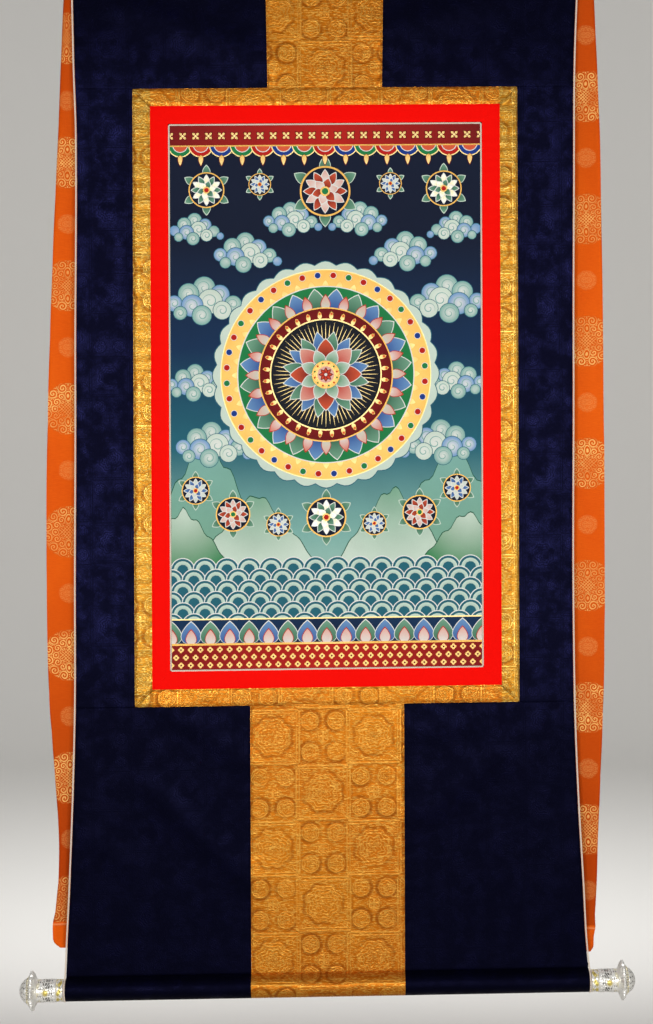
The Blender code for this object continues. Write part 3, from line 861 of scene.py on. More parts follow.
def four_cornered(corners):
    """The flat points of a piece from its corners, in turn from the top left."""
    (x0, d0), (x1, d1), (x2, d2), (x3, d3) = corners

    def place(u, v):
        x_top, x_foot = x0 + (x1 - x0) * u, x3 + (x2 - x3) * u
        d_top, d_foot = d0 + (d1 - d0) * u, d3 + (d2 - d3) * u
        return x_top + (x_foot - x_top) * v, d_top + (d_foot - d_top) * v

    return place


def border(kind, slot, finish, half, drop, end, band, shifts, mitre_shows):
    """Four mitred strips round a frame, by its outer half width, its top and its foot."""
    out, edge, mitre = half - SLIT, half - band + SLIT, 0.7 * SLIT
    low, high = drop + SLIT, drop + band - SLIT
    inner, foot = end - band + SLIT, end - SLIT
    tall, wide = end - drop, 2 * half
    out_cut, edge_cut, low_cut, high_cut = out - mitre, edge - mitre, low + mitre, high + mitre
    inner_cut, foot_cut = inner - mitre, foot - mitre
    sides = {
        "top": [(-out_cut, low), (out_cut, low), (edge_cut, high), (-edge_cut, high)],
        "bottom": [(-edge_cut, inner), (edge_cut, inner), (out_cut, foot), (-out_cut, foot)],
        "left": [(-out, low_cut), (-edge, high_cut), (-edge, inner_cut), (-out, foot_cut)],
        "right": [(edge, high_cut), (out, low_cut), (out, foot_cut), (edge, inner_cut)],
    }
    for side, corners in sides.items():
        lies = side in ("top", "bottom")
        cut = (wide, band) if lies else (band, tall)
        across, down = (spread(length, BAND_STEP) for length in cut)
        area = cut[0] * cut[1] - band**2
        sewn = ("top", "foot") if lies else ("left", "right")
        if mitre_shows:
            sewn = ("left", "right", "top", "foot")
        woven(
            f"{kind}_strip_{side}", slot, f"{kind}_band_{side}", finish, across, down,
            four_cornered(corners), cut, sewn, shifts[side],
        )


red = Finish("red satin", Roughness=0.55, Specular_IOR_Level=0.2, Specular_Tint=tint(255, 90, 60))
across, up = red.flat()
threads = red.noise(260, detail=3, stretch=(1, 1, 9))
shade = red.noise(9, detail=3)
red.set(Base_Color=red.mix(0.5 * threads + 0.5 * shade, tint(238, 5, 4), tint(255, 16, 12)))
red.bump(threads + 0.4 * red.maths("SINE", across * 9), 0.00006)

half_inside, end_inside = FRAME_WIDTH / 2 - GOLD_BAND, FRAME_END - GOLD_BAND
plain_silk = dict(top=(0, 0), bottom=(0, 0), left=(0, 0), right=(0, 0))
drop_inside = FRAME_DROP + GOLD_BAND
border("red", "red_silk", red, half_inside, drop_inside, end_inside, RED_BAND, plain_silk, False)


# The gold brocade: the outer border, the panel above it and the one below it. Silk with flat gilt
# thread, woven with a lattice of double bars, flowered squares and round flowers. The panels turn
# back over the top edge and run round the roller with the silk beside them.
TOP_PANEL_WIDTH_AT_EDGE = 0.1785
TOP_PANEL_WIDTH_MIDWAY = 0.1750
TOP_PANEL_WIDTH_AT_FRAME = 0.1718
BOTTOM_PANEL_WIDTH = 0.2310
TOP_HEM = 0.030
PANEL_STEP = 0.0055
SQUARE = 34
PETAL_WAVE = 1.6
STRIP_STARTS = 261


def folded(finish, across, up, wide, tall):
    """A half-drop repeat folded onto one motif: how far it is across and up to the nearest centre."""
    p = finish.maths("PINGPONG", across, wide / 2)
    q = finish.maths("PINGPONG", up, tall / 2)
    over = finish.maths("GREATER_THAN", p / (wide / 2) + q / (tall / 2), 1.0)
    return p + over * (wide / 2 - 2 * p), q + over * (tall / 2 - 2 * q)


def lattice(finish, scale=1.0):
    """The woven figure: its raised threads, the hollows beside them and its whole shapes."""
    across, up = finish.flat()
    wide, tall = 152, 168
    p, q = folded(finish, across / scale, up / scale, wide, tall)
    square = finish.maths("MAXIMUM", p, q)
    inside = finish.within(square, SQUARE)
    petals = finish.maths("COSINE", finish.maths("ARCTAN2", q, p) * 8)
    centre = finish.far(p, q) + PETAL_WAVE * petals
    rose = finish.rings(centre, 5.4, 0.9) * finish.within(centre, 27)
    corner = finish.far(p - 27, q - 27)
    corner_leaf = finish.rings(corner, 3.4, 0.6) * finish.within(corner, 6)
    bars = finish.line(abs(p - q) - 2.6, 0.9) * finish.rise(square, 30, 31)
    frame = finish.most(finish.line(square - 40.5, 1.2), finish.line(square - 36, 0.8))
    side_x, side_y = wide / 2 - p, tall / 2 - q
    first, second = finish.far(side_x, q), finish.far(p, side_y)
    nearer = finish.maths("LESS_THAN", first, second)
    field_x, field_y = p + nearer * (side_x - p), side_y + nearer * (q - side_y)
    round_x, round_y = field_x - 19.5, field_y - 23.5
    roundel = finish.far(round_x, round_y)
    turn = finish.maths("COSINE", finish.maths("ARCTAN2", round_y, round_x) * 6)
    flower = finish.rings(roundel + 1.2 * turn, 4.6, 0.8) * finish.within(roundel, 11)
    flower = finish.most(flower, finish.line(roundel - 12.6, 0.9))
    cross = finish.within(finish.maths("MINIMUM", field_x, field_y), 1.5)
    cross = cross * finish.within(finish.maths("MAXIMUM", field_x, field_y), 8)
    leaf = finish.rings(finish.far(field_x - 4, field_y - 4), 3.6, 0.7)
    leaf = leaf * finish.within(finish.far(field_x, field_y), 11)
    hollow = finish.most(
        finish.line(roundel - 15.8, 2.3, 2.3) * finish.rise(square, 41, 43),
        finish.line(square - 43.6, 1.3, 1.3) * 0.5,
        finish.line(centre - 30.4, 2.0, 2.0) * inside * 0.8,
    )
    shapes = finish.most(finish.within(centre, 28, 1), finish.within(roundel, 12.6, 1))
    raised = finish.most(frame, rose, corner_leaf * inside, bars, flower, cross, leaf)
    return raised, hollow, shapes


gold = Finish("gold brocade", Specular_Tint=tint(255, 214, 110), Specular_IOR_Level=0.45)
raised, hollow, _ = lattice(gold)
dashes = gold.rise(gold.noise(230, detail=4, stretch=(0.8, 1, 3.4)), 0.50, 0.60)
slub = gold.noise(60, detail=5, stretch=(1, 1, 6))
patches = gold.rise(gold.noise(30, detail=4), 0.32, 0.62)
raised = raised * (0.25 + 0.75 * patches)
hollow = hollow * (0.25 + 0.75 * gold.rise(gold.noise(21, detail=3), 0.38, 0.58))
# Painted sheen: on the side strips the ground and the threads are painted paler and yellower.
across, _ = gold.flat(by="Object")
strip_sheen = gold.rise(abs(across), STRIP_STARTS, STRIP_STARTS + 2)
# Painted gleam: away from the side strips the ground is painted lighter in broad random patches.
painted_gleam = gold.rise(gold.noise(6, detail=2), 0.34, 0.66)
ground = gold.mix(
    strip_sheen,
    gold.mix(slub, gold.mix(painted_gleam, tint(154, 72, 5), tint(170, 96, 13)), tint(186, 104, 18)),
    gold.mix(slub, tint(150, 94, 17), tint(182, 124, 31)),
)
threads = gold.mix(
    strip_sheen,
    gold.mix(slub, tint(188, 122, 32), tint(224, 178, 86)),
    gold.mix(slub, tint(186, 138, 46), tint(218, 194, 112)),
)
woven_in = gold.mix(gold.most(0.55 * raised, 0.75 * dashes), ground, threads)
# Painted shade: the hollows beside the raised threads are mixed towards dark brown in Base Color.
gold.set(
    Base_Color=gold.mix(hollow * 0.68, woven_in, tint(116, 46, 0)),
    Metallic=0.50 + 0.25 * raised,
    Roughness=0.33 - 0.07 * gold.most(raised, dashes) + 0.05 * slub,
)
gold.bump(raised * 0.7 + dashes * 0.45 + slub * 0.9 - hollow * 0.6, 0.00028)

shifts = dict(top=(0.031, 0.0), bottom=(-0.044, 0.02), left=(0.052, 0.011), right=(-0.018, 0.043))
frame_half = FRAME_WIDTH / 2
border("gold", "gold_brocade", gold, frame_half, FRAME_DROP, FRAME_END, GOLD_BAND, shifts, True)

hem_rows = np.linspace(-TOP_HEM - 0.0013, -0.002, 7)
turn_rows = np.linspace(-0.0014, 0.0014, 7)
front_rows = FRAME_DROP * spread(FRAME_DROP, PANEL_STEP)
front_rows = front_rows[front_rows > 0.002]
TOP_ROWS = np.concatenate([hem_rows, turn_rows, front_rows])
TOP_ROWS[-1] -= SLIT
long = SEAM - FRAME_END
FOOT_ROWS = np.concatenate([FRAME_END + long * spread(long, PANEL_STEP), SEAM + SLEEVE_ALONG[1:]])
FOOT_ROWS[0] += SLIT


def between(rows, left, right):
    """Flat points of a piece from edge to edge, on rows down the mount."""

    def place(u, v):
        s = np.interp(v, np.linspace(0, 1, len(rows)), rows)
        drop = np.clip(abs(s), 0, MOUNT_FOOT)
        return left(drop) + (right(drop) - left(drop)) * u, s

    return place


def top_panel(side):
    """An edge of the panel above the frame, which narrows a little down to it."""
    narrow = (TOP_PANEL_WIDTH_AT_FRAME - TOP_PANEL_WIDTH_AT_EDGE) / FRAME_DROP
    return lambda drop: side * (TOP_PANEL_WIDTH_AT_EDGE + narrow * np.minimum(drop, FRAME_DROP)) / 2


def foot_panel(side):
    """An edge of the panel below the frame, which is straight."""
    return lambda drop: side * BOTTOM_PANEL_WIDTH / 2 + 0 * drop


def inset(edge, by):
    """The same edge, moved sideways."""
    return lambda drop: edge(drop) + by


def rows_of(rows):
    """Grid lines as shares, one for each row."""
    return np.linspace(0, 1, len(rows))


woven(
    "gold_top_cloth", "gold_brocade", "gold_panel_top", gold,
    spread(TOP_PANEL_WIDTH_MIDWAY, PANEL_STEP), rows_of(TOP_ROWS),
    between(TOP_ROWS, inset(top_panel(-1), SLIT), inset(top_panel(1), -SLIT)),
    (TOP_PANEL_WIDTH_AT_EDGE, FRAME_DROP + TOP_HEM), ("left", "right", "foot"), shift=(0, 0.025),
)
woven(
    "gold_foot_cloth", "gold_brocade", "gold_panel_bottom", gold,
    spread(BOTTOM_PANEL_WIDTH, PANEL_STEP), rows_of(FOOT_ROWS),
    between(FOOT_ROWS, inset(foot_panel(-1), SLIT), inset(foot_panel(1), -SLIT)),
    (BOTTOM_PANEL_WIDTH, float(np.ptp(FOOT_ROWS))), ("left", "right", "top"), shift=(0.0825, 0.02),
)


# The dark blue silk that makes the rest of the mount: six pieces of figured satin, sewn to the gold
# and to each other. The figure is the ground's own colour and is less rough than the ground; it is
# also painted a lighter blue in random patches, and ground and figure are painted lighter in a band
# at middle height, both as painted sheen.
navy = Finish("navy figured satin", Specular_IOR_Level=0.10, Specular_Tint=tint(150, 152, 255))
raised, hollow, shapes = lattice(navy, scale=0.74)
_, up = navy.flat()
# Painted sheen: a band at middle height (beside) where the ground and the figure are painted lighter.
beside = navy.rise(up, -1180, -940) * navy.rise(-up, 60, 260)
ribs = navy.noise(170, detail=3, stretch=(1, 1, 9))
specks = navy.rise(navy.noise(420, detail=3, stretch=(1.6, 1, 1)), 0.36, 0.66)
mottle = navy.rise(navy.noise(34, detail=6, roughness=0.62), 0.40, 0.62)
# Painted sheen: where the figure shows, in random patches (mottle), it is painted a lighter blue; the
# same mask also feeds roughness and bump.
shown = (0.5 + 0.5 * shapes) * (1 - 0.7 * raised) * mottle
figure_sheen_colour = navy.mix(beside, tint(2, 2, 20), tint(28, 29, 74))
ground = navy.mix(beside, tint(0, 0, 4), tint(4, 4, 18))
navy.set(
    Base_Color=navy.mix(shown * (0.3 + 0.7 * specks), ground, figure_sheen_colour),
    Roughness=0.56 - 0.26 * shown + 0.08 * ribs,
)
navy.bump(shown * 0.7 + ribs * 0.5 + specks * 0.4, 0.00024)

SIDES = (("left", -1), ("right", 1))
SILK_STEP = 0.0060
SIDE_STEP = 0.0050
long = FRAME_END - FRAME_DROP
SIDE_ROWS = FRAME_DROP + long * spread(long, SIDE_STEP)
SIDE_ROWS[0] += SLIT
SIDE_ROWS[-1] -= SLIT


def mount_edge(side, drop):
    """The mount's side edge, left of the middle (-1) or right of it (1)."""
    return side * read(MOUNT_EDGES, "left" if side < 0 else "right", drop)


def mount_side(side):
    """The outer edge of the mount, as a piece's edge."""
    return lambda drop: mount_edge(side, drop)


def frame_side(side):
    """The outer edge of the frame, which is straight."""
    return lambda drop: side * FRAME_WIDTH / 2 + 0 * drop


SILK_PIECES = (
    dict(part="top", rows=TOP_ROWS, inner=top_panel, wide=0.2905, free=("top",)),
    dict(part="side", rows=SIDE_ROWS, inner=frame_side, wide=0.0870, free=()),
    dict(part="bottom", rows=FOOT_ROWS, inner=foot_panel, wide=0.2786, free=("foot",)),
)
for piece in SILK_PIECES:
    rows = piece["rows"]
    sewn = [edge for edge in ("left", "right", "top", "foot") if edge not in piece["free"]]
    for side, hand in SIDES:
        edges = [mount_side(hand), inset(piece["inner"](hand), hand * SLIT)]
        woven(
            f"silk_{piece['part']}_{side}_cloth", "blue_silk", f"silk_{piece['part']}_{side}", navy,
            spread(piece["wide"], SILK_STEP), rows_of(rows), between(rows, *edges[::-hand]),
            (piece["wide"], float(np.ptp(rows))), sewn,
            shift=(0.013 * hand, 0.031 if hand < 0 else 0.057),
        )


# The cord down both side edges. It is the same cord as the one round the picture, sewn into the
# edge of the silk, and it runs on round the end of the roller's sleeve.
CORD_OFF_EDGE = 0.0017
CORD_ROUND_SLEEVE = 0.0164
CORD_STARTS, CORD_TURNS = 0.0014, 1.5455

for side, hand in SIDES:
    drops = np.linspace(CORD_STARTS, CORD_TURNS, 320)
    down = hung(mount_edge(hand, drops) + hand * CORD_OFF_EDGE, drops)
    turns = np.radians(np.linspace(20, 335, 46))
    x = np.full_like(turns, float(mount_edge(hand, MOUNT_FOOT)) + hand * CORD_OFF_EDGE)
    y = -CORD_ROUND_SLEEVE * np.sin(turns)
    z = CORD_ROUND_SLEEVE * np.cos(turns) - ROLLER_DROP + x * ROLLER_RISE
    made = cord(np.concatenate([down, np.stack([x, y, z], -1)]))
    plain(made, f"edge_cord_{side}", "cream_piping", f"edge_piping_{side}")


# The cover cloth. One width of orange brocade with round scrolled medallions, which hangs in front
# of the picture when it isn't shown and is thrown back here. It hangs behind the mount in soft
# upright folds, with a hem at its foot, and its edges curl back where they hang free.
COVER_CLOTH = 0.0012
COVER_FOOT = 1.5195
COVER_HEM = 0.030
COVER_TURN = 0.00065
COVER_LEFT, COVER_RIGHT = 0.4240, 0.4195
COVER_FOLD_COUNT = 5.5
COVER_LEAN = 0.0112
COVER_EDGES = listed(
    "drop left right",
    (0.000, 0.3860, 0.4010), (0.090, 0.3935, 0.4060), (0.285, 0.4030, 0.4140),
    (0.450, 0.4110, 0.4165), (0.690, 0.4195, 0.4185), (0.900, 0.4230, 0.4210),
    (1.050, 0.4220, 0.4185), (1.140, 0.4200, 0.4165), (1.230, 0.4140, 0.4130),
    (1.350, 0.4065, 0.4080), (1.410, 0.4070, 0.4062), (1.447, 0.4101, 0.4045),
    (1.467, 0.4124, 0.4036), (1.485, 0.4160, 0.4040), (1.4975, 0.4161, 0.4015),
    (1.508, 0.4154, 0.4013), (1.514, 0.4128, 0.4007), (1.5195, 0.4060, 0.3975),
)
COVER_FOLDS = listed(
    "drop behind depth",
    (0.000, 0.0035, 0.0000), (0.080, 0.0090, 0.0022), (0.300, 0.0145, 0.0055),
    (0.850, 0.0135, 0.0028), (1.250, 0.0150, 0.0060), (1.5195, 0.0165, 0.0075),
)
MEDALLIONS_APART = (313.4, 185.2)
MEDALLION_SHIFT = (389.5, 142)
WARP_PULL = 3.2
HEM_LINE = 1485


def cover_hang(x, s):
    """Points of the cover cloth, from its flat ones."""
    lead = np.clip((s - COVER_FOOT) / COVER_TURN, 0, math.pi)
    hem = np.maximum(s - COVER_FOOT - COVER_TURN * math.pi, 0)
    drop = np.minimum(s, COVER_FOOT) + COVER_TURN * np.sin(lead) - hem
    left, right = read(COVER_EDGES, "left", drop), read(COVER_EDGES, "right", drop)
    hand = np.where(x < 0, -1, 1)
    edge, cut = np.where(x < 0, left, right), np.where(x < 0, COVER_LEFT, COVER_RIGHT)
    curl = np.maximum((cut - edge) / 2, 1e-6)
    round_edge = np.clip((abs(x) - edge + curl) / curl, 0, None)
    placed = hand * np.where(round_edge > 0, edge - curl + curl * np.sin(round_edge), abs(x))
    share = (placed + left) / (left + right)
    depth = read(COVER_FOLDS, "depth", drop)
    folds = depth * np.sin(2 * math.pi * COVER_FOLD_COUNT * share + 0.9 * np.sin(drop * 2.1))
    y = read(COVER_FOLDS, "behind", drop) + folds + 0.42 * curl * (1 - np.cos(round_edge))
    y = y + COVER_TURN * (1 - np.cos(lead))
    return np.stack([placed, y, -drop - placed * COVER_LEAN * drop / COVER_FOOT], -1)


def coil(finish, across, up, radius, apart):
    """A scroll's coil: a line that winds in to its middle."""
    distance = finish.far(across, up)
    wound = distance - finish.maths("ARCTAN2", up, across) * (apart / (2 * math.pi))
    return finish.rings(wound, apart, 0.85) * finish.within(distance, radius)


orange = Finish("orange brocade", Specular_IOR_Level=0.35, Specular_Tint=tint(255, 150, 80))
across, up = orange.flat()
level = up * (1 + across * 0.0000192)
pull = orange.noise(70, detail=2)
drawn = orange.noise(62, detail=2)
shifted = (
    across + MEDALLION_SHIFT[0] + WARP_PULL * (pull - 0.5),
    level + MEDALLION_SHIFT[1] + WARP_PULL * (drawn - 0.5),
)
p, q = folded(orange, *shifted, *MEDALLIONS_APART)
far, angle = orange.far(p, q), orange.maths("ARCTAN2", q, p)
outer = orange.maths("WRAP", angle, 0, math.pi / 6) - math.pi / 12
inner = orange.maths("WRAP", angle, -math.pi / 12, math.pi / 12)
bud = orange.far(p * 1.6, q - 19.4)
out_x, out_y = far * orange.maths("COSINE", outer) - 32, far * orange.maths("SINE", outer)
in_x, in_y = far * orange.maths("COSINE", inner) - 20.4, far * orange.maths("SINE", inner)
off_bud = orange.rise(bud, 8.4, 9)
off_knot = orange.rise(p + q, 13, 14)
medallion = orange.most(
    coil(orange, out_x, out_y, 7.2, 4.0),
    coil(orange, in_x, in_y, 5.4, 3.6) * off_bud,
    orange.line(bud - 7.0, 0.9),
    orange.within(bud, 3.0),
    orange.rings(p + q, 4.8, 0.8) * (1 - off_knot),
    orange.rings(abs(p - q), 4.8, 0.8) * (1 - off_knot),
)
gaps = 1 - orange.within(orange.far(out_x, out_y), 7.4)
gaps = gaps * (1 - orange.within(orange.far(in_x, in_y), 5.6))
gaps = gaps * off_knot * off_bud * orange.within(far, 38)
vine_x, vine_y = (orange.maths("WRAP", value, -3.2, 3.2) for value in (p + 0.4 * q, q - 0.4 * p))
vines = coil(orange, vine_x, vine_y, 3.6, 3.4)
medallion = orange.most(medallion, 0.8 * gaps * vines)
disc = orange.within(far, 39, 1.5)
half_across, half_up = (apart / 2 for apart in MEDALLIONS_APART)
sprig = orange.maths("MINIMUM", orange.far(p, half_up - q), orange.far(half_across - p, q))
sprig = orange.within(sprig, 14.5, 1.5) * (0.07 + 0.16 * vines)
worn = orange.rise(orange.noise(34, detail=5), 0.34, 0.60)
worn = worn * orange.rise(orange.noise(5, detail=2), 0.25, 0.62)
above_hem = orange.rise(up, 3 - HEM_LINE, 5 - HEM_LINE)
weft = orange.noise(240, detail=4, stretch=(0.5, 1, 6))
soft = orange.noise(11, detail=4, stretch=(1.6, 1, 0.7))
ground = orange.mix(0.45 * weft + 0.55 * soft, tint(200, 58, 4), tint(250, 110, 18))
# Painted shade: the ground is painted darker towards the top and the foot, away from middle height.
painted_shade_at_ends = orange.rise(abs(up + 680), 160, 700)
ground = orange.mix(painted_shade_at_ends * above_hem * 0.62, ground, tint(140, 32, 2))
# Painted highlight: a pale line along the hem's crease; the same line is raised in the bump.
crease_and_highlight = orange.line(up + HEM_LINE, 1.5, 1.2)
ground = orange.mix(crease_and_highlight * 0.7, ground, tint(255, 150, 90))
ground = orange.mix(disc * above_hem * 0.3, ground, tint(206, 92, 22))
figure = above_hem * orange.most(medallion * (0.35 + 0.65 * worn), sprig)
orange.set(
    Base_Color=orange.mix(figure, ground, tint(255, 196, 112)),
    Roughness=0.52 - 0.12 * medallion + 0.08 * weft,
)
orange.bump(medallion * 1.2 + weft * 0.7 + crease_and_highlight * 4, 0.00022)

side_lines = np.array([
    0, 0.0015, 0.004, 0.007, 0.010, 0.014, 0.018, 0.022, 0.026, 0.030, 0.035, 0.040, 0.046,
    0.053, 0.061,
])
middle_lines = np.linspace(-COVER_LEFT + 0.069, COVER_RIGHT - 0.069, 92)
columns = np.concatenate([-COVER_LEFT + side_lines, middle_lines, COVER_RIGHT - side_lines[::-1]])
rows = np.concatenate([
    np.linspace(0, 1.480, 210), np.linspace(1.484, COVER_FOOT, 12),
    COVER_FOOT + COVER_TURN * np.linspace(0, math.pi, 7)[1:],
    COVER_FOOT + COVER_TURN * math.pi + np.array([0.002, 0.008, 0.015, 0.022, COVER_HEM]),
])
x, s = np.meshgrid(columns, rows)
flat = np.stack([x, -s], -1).reshape(-1, 2)
cover = meshed(cover_hang(x, s).reshape(-1, 3), quads(*x.shape), flat, orange)
thicken(cover, COVER_CLOTH)
plain(cover, "cover_brocade", "orange_brocade", "cover_cloth")


# The stitches that show: a row along the seam above the roller, one along the hem at the top edge,
# and one along the cover cloth's hem. They are plain running stitches in thread of the cloth's colour.
STITCH_STEP = 0.0052
STITCH_LENGTH = 0.0034
STITCH_RADIUS = 0.00032
STITCHES_OFF_SEAM = 0.0016
STITCHES_OFF_EDGE = 0.004


def thread_of(name, colour):
    """Sewing thread, and the tree that lays its stitches along a path."""
    thread = Finish(name, Roughness=0.45, Sheen_Weight=0.2)
    thread.set(Base_Color=thread.scaled(colour, 0.8 + 0.4 * thread.noise(500, detail=1)))
    row = Tree(name, "stitch step", "stitch length", "thread radius")
    path = row.node("GeometryNodeMeshToCurve", {"Mesh": row.size("path")})
    inputs = {"Curve": path, "Length": row.size("stitch step")}
    points = row.node("GeometryNodeCurveToPoints", inputs, mode="LENGTH")
    one = row.node("GeometryNodeMeshUVSphere", {"Segments": 8, "Rings": 6, "Radius": 1.0})
    radius, half_stitch = row.size("thread radius"), row.size("stitch length") / 2
    scale = row.node("ShaderNodeCombineXYZ", {"X": radius, "Y": radius, "Z": half_stitch})
    one = row.node("GeometryNodeTransform", {"Geometry": one, "Scale": scale})
    inputs = {"Points": points, "Instance": one, "Rotation": points.beside("Rotation")}
    row.end(row.node("GeometryNodeInstanceOnPoints", inputs), thread)
    return row


def stitched(name, slot, row, points):
    """A row of stitches along a path."""
    sizes = {
        "stitch step": STITCH_STEP, "stitch length": STITCH_LENGTH, "thread radius": STITCH_RADIUS,
    }
    plain(row.along(points, chain(len(points)), **sizes), name, slot)


navy_thread = thread_of("navy thread", tint(8, 8, 34))
gold_thread = thread_of("gold thread", tint(206, 150, 60))
orange_thread = thread_of("orange thread", tint(226, 112, 40))
PROUD = CLOTH / 2 + STITCH_RADIUS * 0.3
for name, s, half in (
    ("hem", TOP_HEM - STITCHES_OFF_EDGE, TOP_PANEL_WIDTH_AT_EDGE / 2 - 0.003),
    ("sleeve", SEAM - STITCHES_OFF_SEAM, BOTTOM_PANEL_WIDTH / 2 - 0.002),
):
    left, right = (float(mount_edge(hand, min(s, MOUNT_FOOT))) for hand in (-1, 1))
    off = STITCHES_OFF_EDGE
    spans = (
        (left + off, -half - off, navy_thread, "blue_silk", "left"),
        (-half, half, gold_thread, "gold_brocade", "middle"),
        (half + off, right - off, navy_thread, "blue_silk", "right"),
    )
    for start, stop, row, slot, where in spans:
        x = np.linspace(start, stop, 90)
        stitched(f"{name}_stitches_{where}", slot, row, hang(x, np.full_like(x, s), -PROUD))
x = np.linspace(-0.395, 0.385, 160)
s = np.full_like(x, COVER_FOOT - COVER_HEM + STITCHES_OFF_EDGE)
points = cover_hang(x, s) - (0, COVER_CLOTH / 2 + 0.0001, 0)
stitched("cover_stitches", "orange_brocade", orange_thread, points)


# The roller. A turned rod of pale close-grained wood, which lies in the sleeve at the foot of the
# mount and carries its weight. Only its grain is added to the solid.
wood = Finish("rod wood", Roughness=0.5)
grain = wood.noise(38, detail=6, stretch=(0.06, 1, 1))
wood.set(Base_Color=wood.mix(grain, tint(112, 70, 36), tint(176, 126, 76)))
wood.bump(grain, 0.0002)
rod = frame["nodes"]["roller_rod"]
rod.data.materials.clear()
rod.data.materials.append(wood.material)


# The end caps. Each is raised from silver sheet and fits over the rod's end: a gilt collar, a neck
# chased with scrolls, a cupped flange of eight petals, a gilt beaded ring and an engraved dome.
SOCKET_DEPTH = 0.030
PETAL_COUNT = 8
SOCKET_RADIUS = 0.0146
SEAM_GAP = 0.0003
GRAIN_RADIUS = 0.0007
GRAINS_ROUND, GRAINS_IN_FLOWER = 34, 8
END_CAP = listed(
    "out radius petals",
    (0.0000, 0.0163, 0.00), (0.0080, 0.0163, 0.00), (0.0092, 0.0157, 0.00), (0.0110, 0.0169, 0.00),
    (0.0380, 0.0170, 0.00), (0.0402, 0.0182, 0.00), (0.0430, 0.0232, 0.04), (0.0458, 0.0298, 0.20),
    (0.0480, 0.0303, 0.21), (0.0498, 0.0268, 0.08), (0.0506, 0.0218, 0.00), (0.0530, 0.0214, 0.00),
    (0.0534, 0.0190, 0.00), (0.0570, 0.0176, 0.00), (0.0604, 0.0150, 0.00), (0.0636, 0.0106, 0.00),
    (0.0658, 0.0056, 0.00), (0.0665, 0.0002, 0.00),
)

silver = Finish("worked silver")
worked = silver.node("ShaderNodeVertexColor", {}, layer_name="worked")
gilt = silver.node("ShaderNodeSeparateColor", {"Color": worked})
hollow = gilt.beside(1)
tarnish = silver.noise(160, detail=5)
metal = silver.mix(gilt, tint(252, 250, 244), tint(224, 204, 110))
dark = silver.rise(hollow + 0.4 * (tarnish - 0.5), 0.45, 1.05)
silver.set(
    Base_Color=silver.mix(dark, metal, tint(58, 52, 44)),
    Metallic=0.62 - 0.3 * dark,
    Roughness=0.32 + 0.22 * dark + 0.10 * tarnish,
)
silver.bump(tarnish, 0.00008)


def zone(out, low, high):
    """1 on a ring of the cap between two places along its axis, and 0 elsewhere."""
    return smooth((out - low) / 0.0008) * (1 - smooth((out - high + 0.0008) / 0.0008))


def chased(out, angle):
    """How far the worked surface stands above the cap's plain form, and how gilt it is."""
    leaves = np.cos(angle * 14 + 1.5 * np.sin(out * 900)) * np.cos((out - 0.0044) * 800)
    collar = zone(out, 0.0008, 0.0086) * 0.00034 * np.tanh(2 * leaves)
    vine = np.sin(angle * 9 + 2.3 * np.sin(out * 560)) * np.sin(out * 900 + 1.5 * np.cos(angle * 9))
    neck = zone(out, 0.0118, 0.0378) * 0.00046 * np.tanh(3.4 * vine)
    lip = 0.0004 * (zone(out, 0.0000, 0.0014) + zone(out, 0.0106, 0.0122) + zone(out, 0.0370, 0.0386))
    off = abs(np.angle(np.exp(1j * angle * PETAL_COUNT))) / math.pi
    rim = np.exp(-(((off - 0.74) / 0.06) ** 2)) - 0.35 * smooth((off - 0.82) / 0.12)
    heart = 0.7 * np.cos(off * 32 + out * 1300) * (1 - smooth((off - 0.58) / 0.07))
    flange = smooth((out - 0.0412) / 0.002) * (1 - smooth((out - 0.0494) / 0.0010))
    petals = flange * 0.00060 * (rim + heart)
    bead = zone(out, 0.0503, 0.0534) * 0.00058 * (np.cos(angle * 56) - 0.2)
    shell = abs(np.sin(angle * 6 + 0.5 * np.sin(out * 900))) ** 0.6 - 0.72 + 0.25 * np.cos(out * 1900)
    dome = smooth((out - 0.0545) / 0.001) * 0.00075 * shell * smooth((0.0662 - out) / 0.003)
    turned = np.angle(np.exp(1j * (angle + math.pi / 2)))
    boss = np.exp(-(((out - 0.026) / 0.0036) ** 2) - (turned / 0.24) ** 2)
    patches = smooth(0.5 + 1.2 * np.sin(angle * 5 + out * 500) * np.cos(angle * 3 - out * 260))
    gilt = zone(out, 0.0004, 0.0102) * patches + 0.3 * zone(out, 0.0502, 0.0536) + 1.6 * boss
    gilt = gilt + 0.35 * zone(out, 0.0340, 0.0400) * patches
    neck = neck * (1 - np.clip(boss * 1.5, 0, 1))
    relief = collar + neck + lip + petals + dome + bead + 0.0014 * boss
    return relief, np.clip(gilt, 0, 1)


at = np.array([row["out"] for row in END_CAP])
form = np.array([row["radius"] for row in END_CAP])
cut = np.array([row["petals"] for row in END_CAP])
steps = np.concatenate([[0], np.cumsum(np.hypot(np.diff(at), np.diff(form)))])
fine = np.unique(np.concatenate([np.linspace(0, steps[-1], 170), steps]))
out, radius, petals = (np.interp(fine, steps, values) for values in (at, form, cut))
turns = np.linspace(0, 2 * math.pi, 288, endpoint=False)
out_grid, angle_grid = np.meshgrid(out, turns, indexing="ij")
lobes = abs(np.cos(angle_grid * PETAL_COUNT / 2)) ** 0.7
relief, gilt_grid = chased(out_grid, angle_grid)
inward = np.gradient(radius, fine, edge_order=1)[:, None]
sideways = np.gradient(out, fine, edge_order=1)[:, None]
wide = radius[:, None] * (1 - petals[:, None] * (1 - lobes)) + relief * sideways
far_out = out_grid - relief * inward * (radius[:, None] > 0.002)
depth = np.clip(0.42 - relief / 0.0009, 0, 1)
mouth, end = (0.0, SOCKET_RADIUS), (SOCKET_DEPTH, SOCKET_RADIUS)
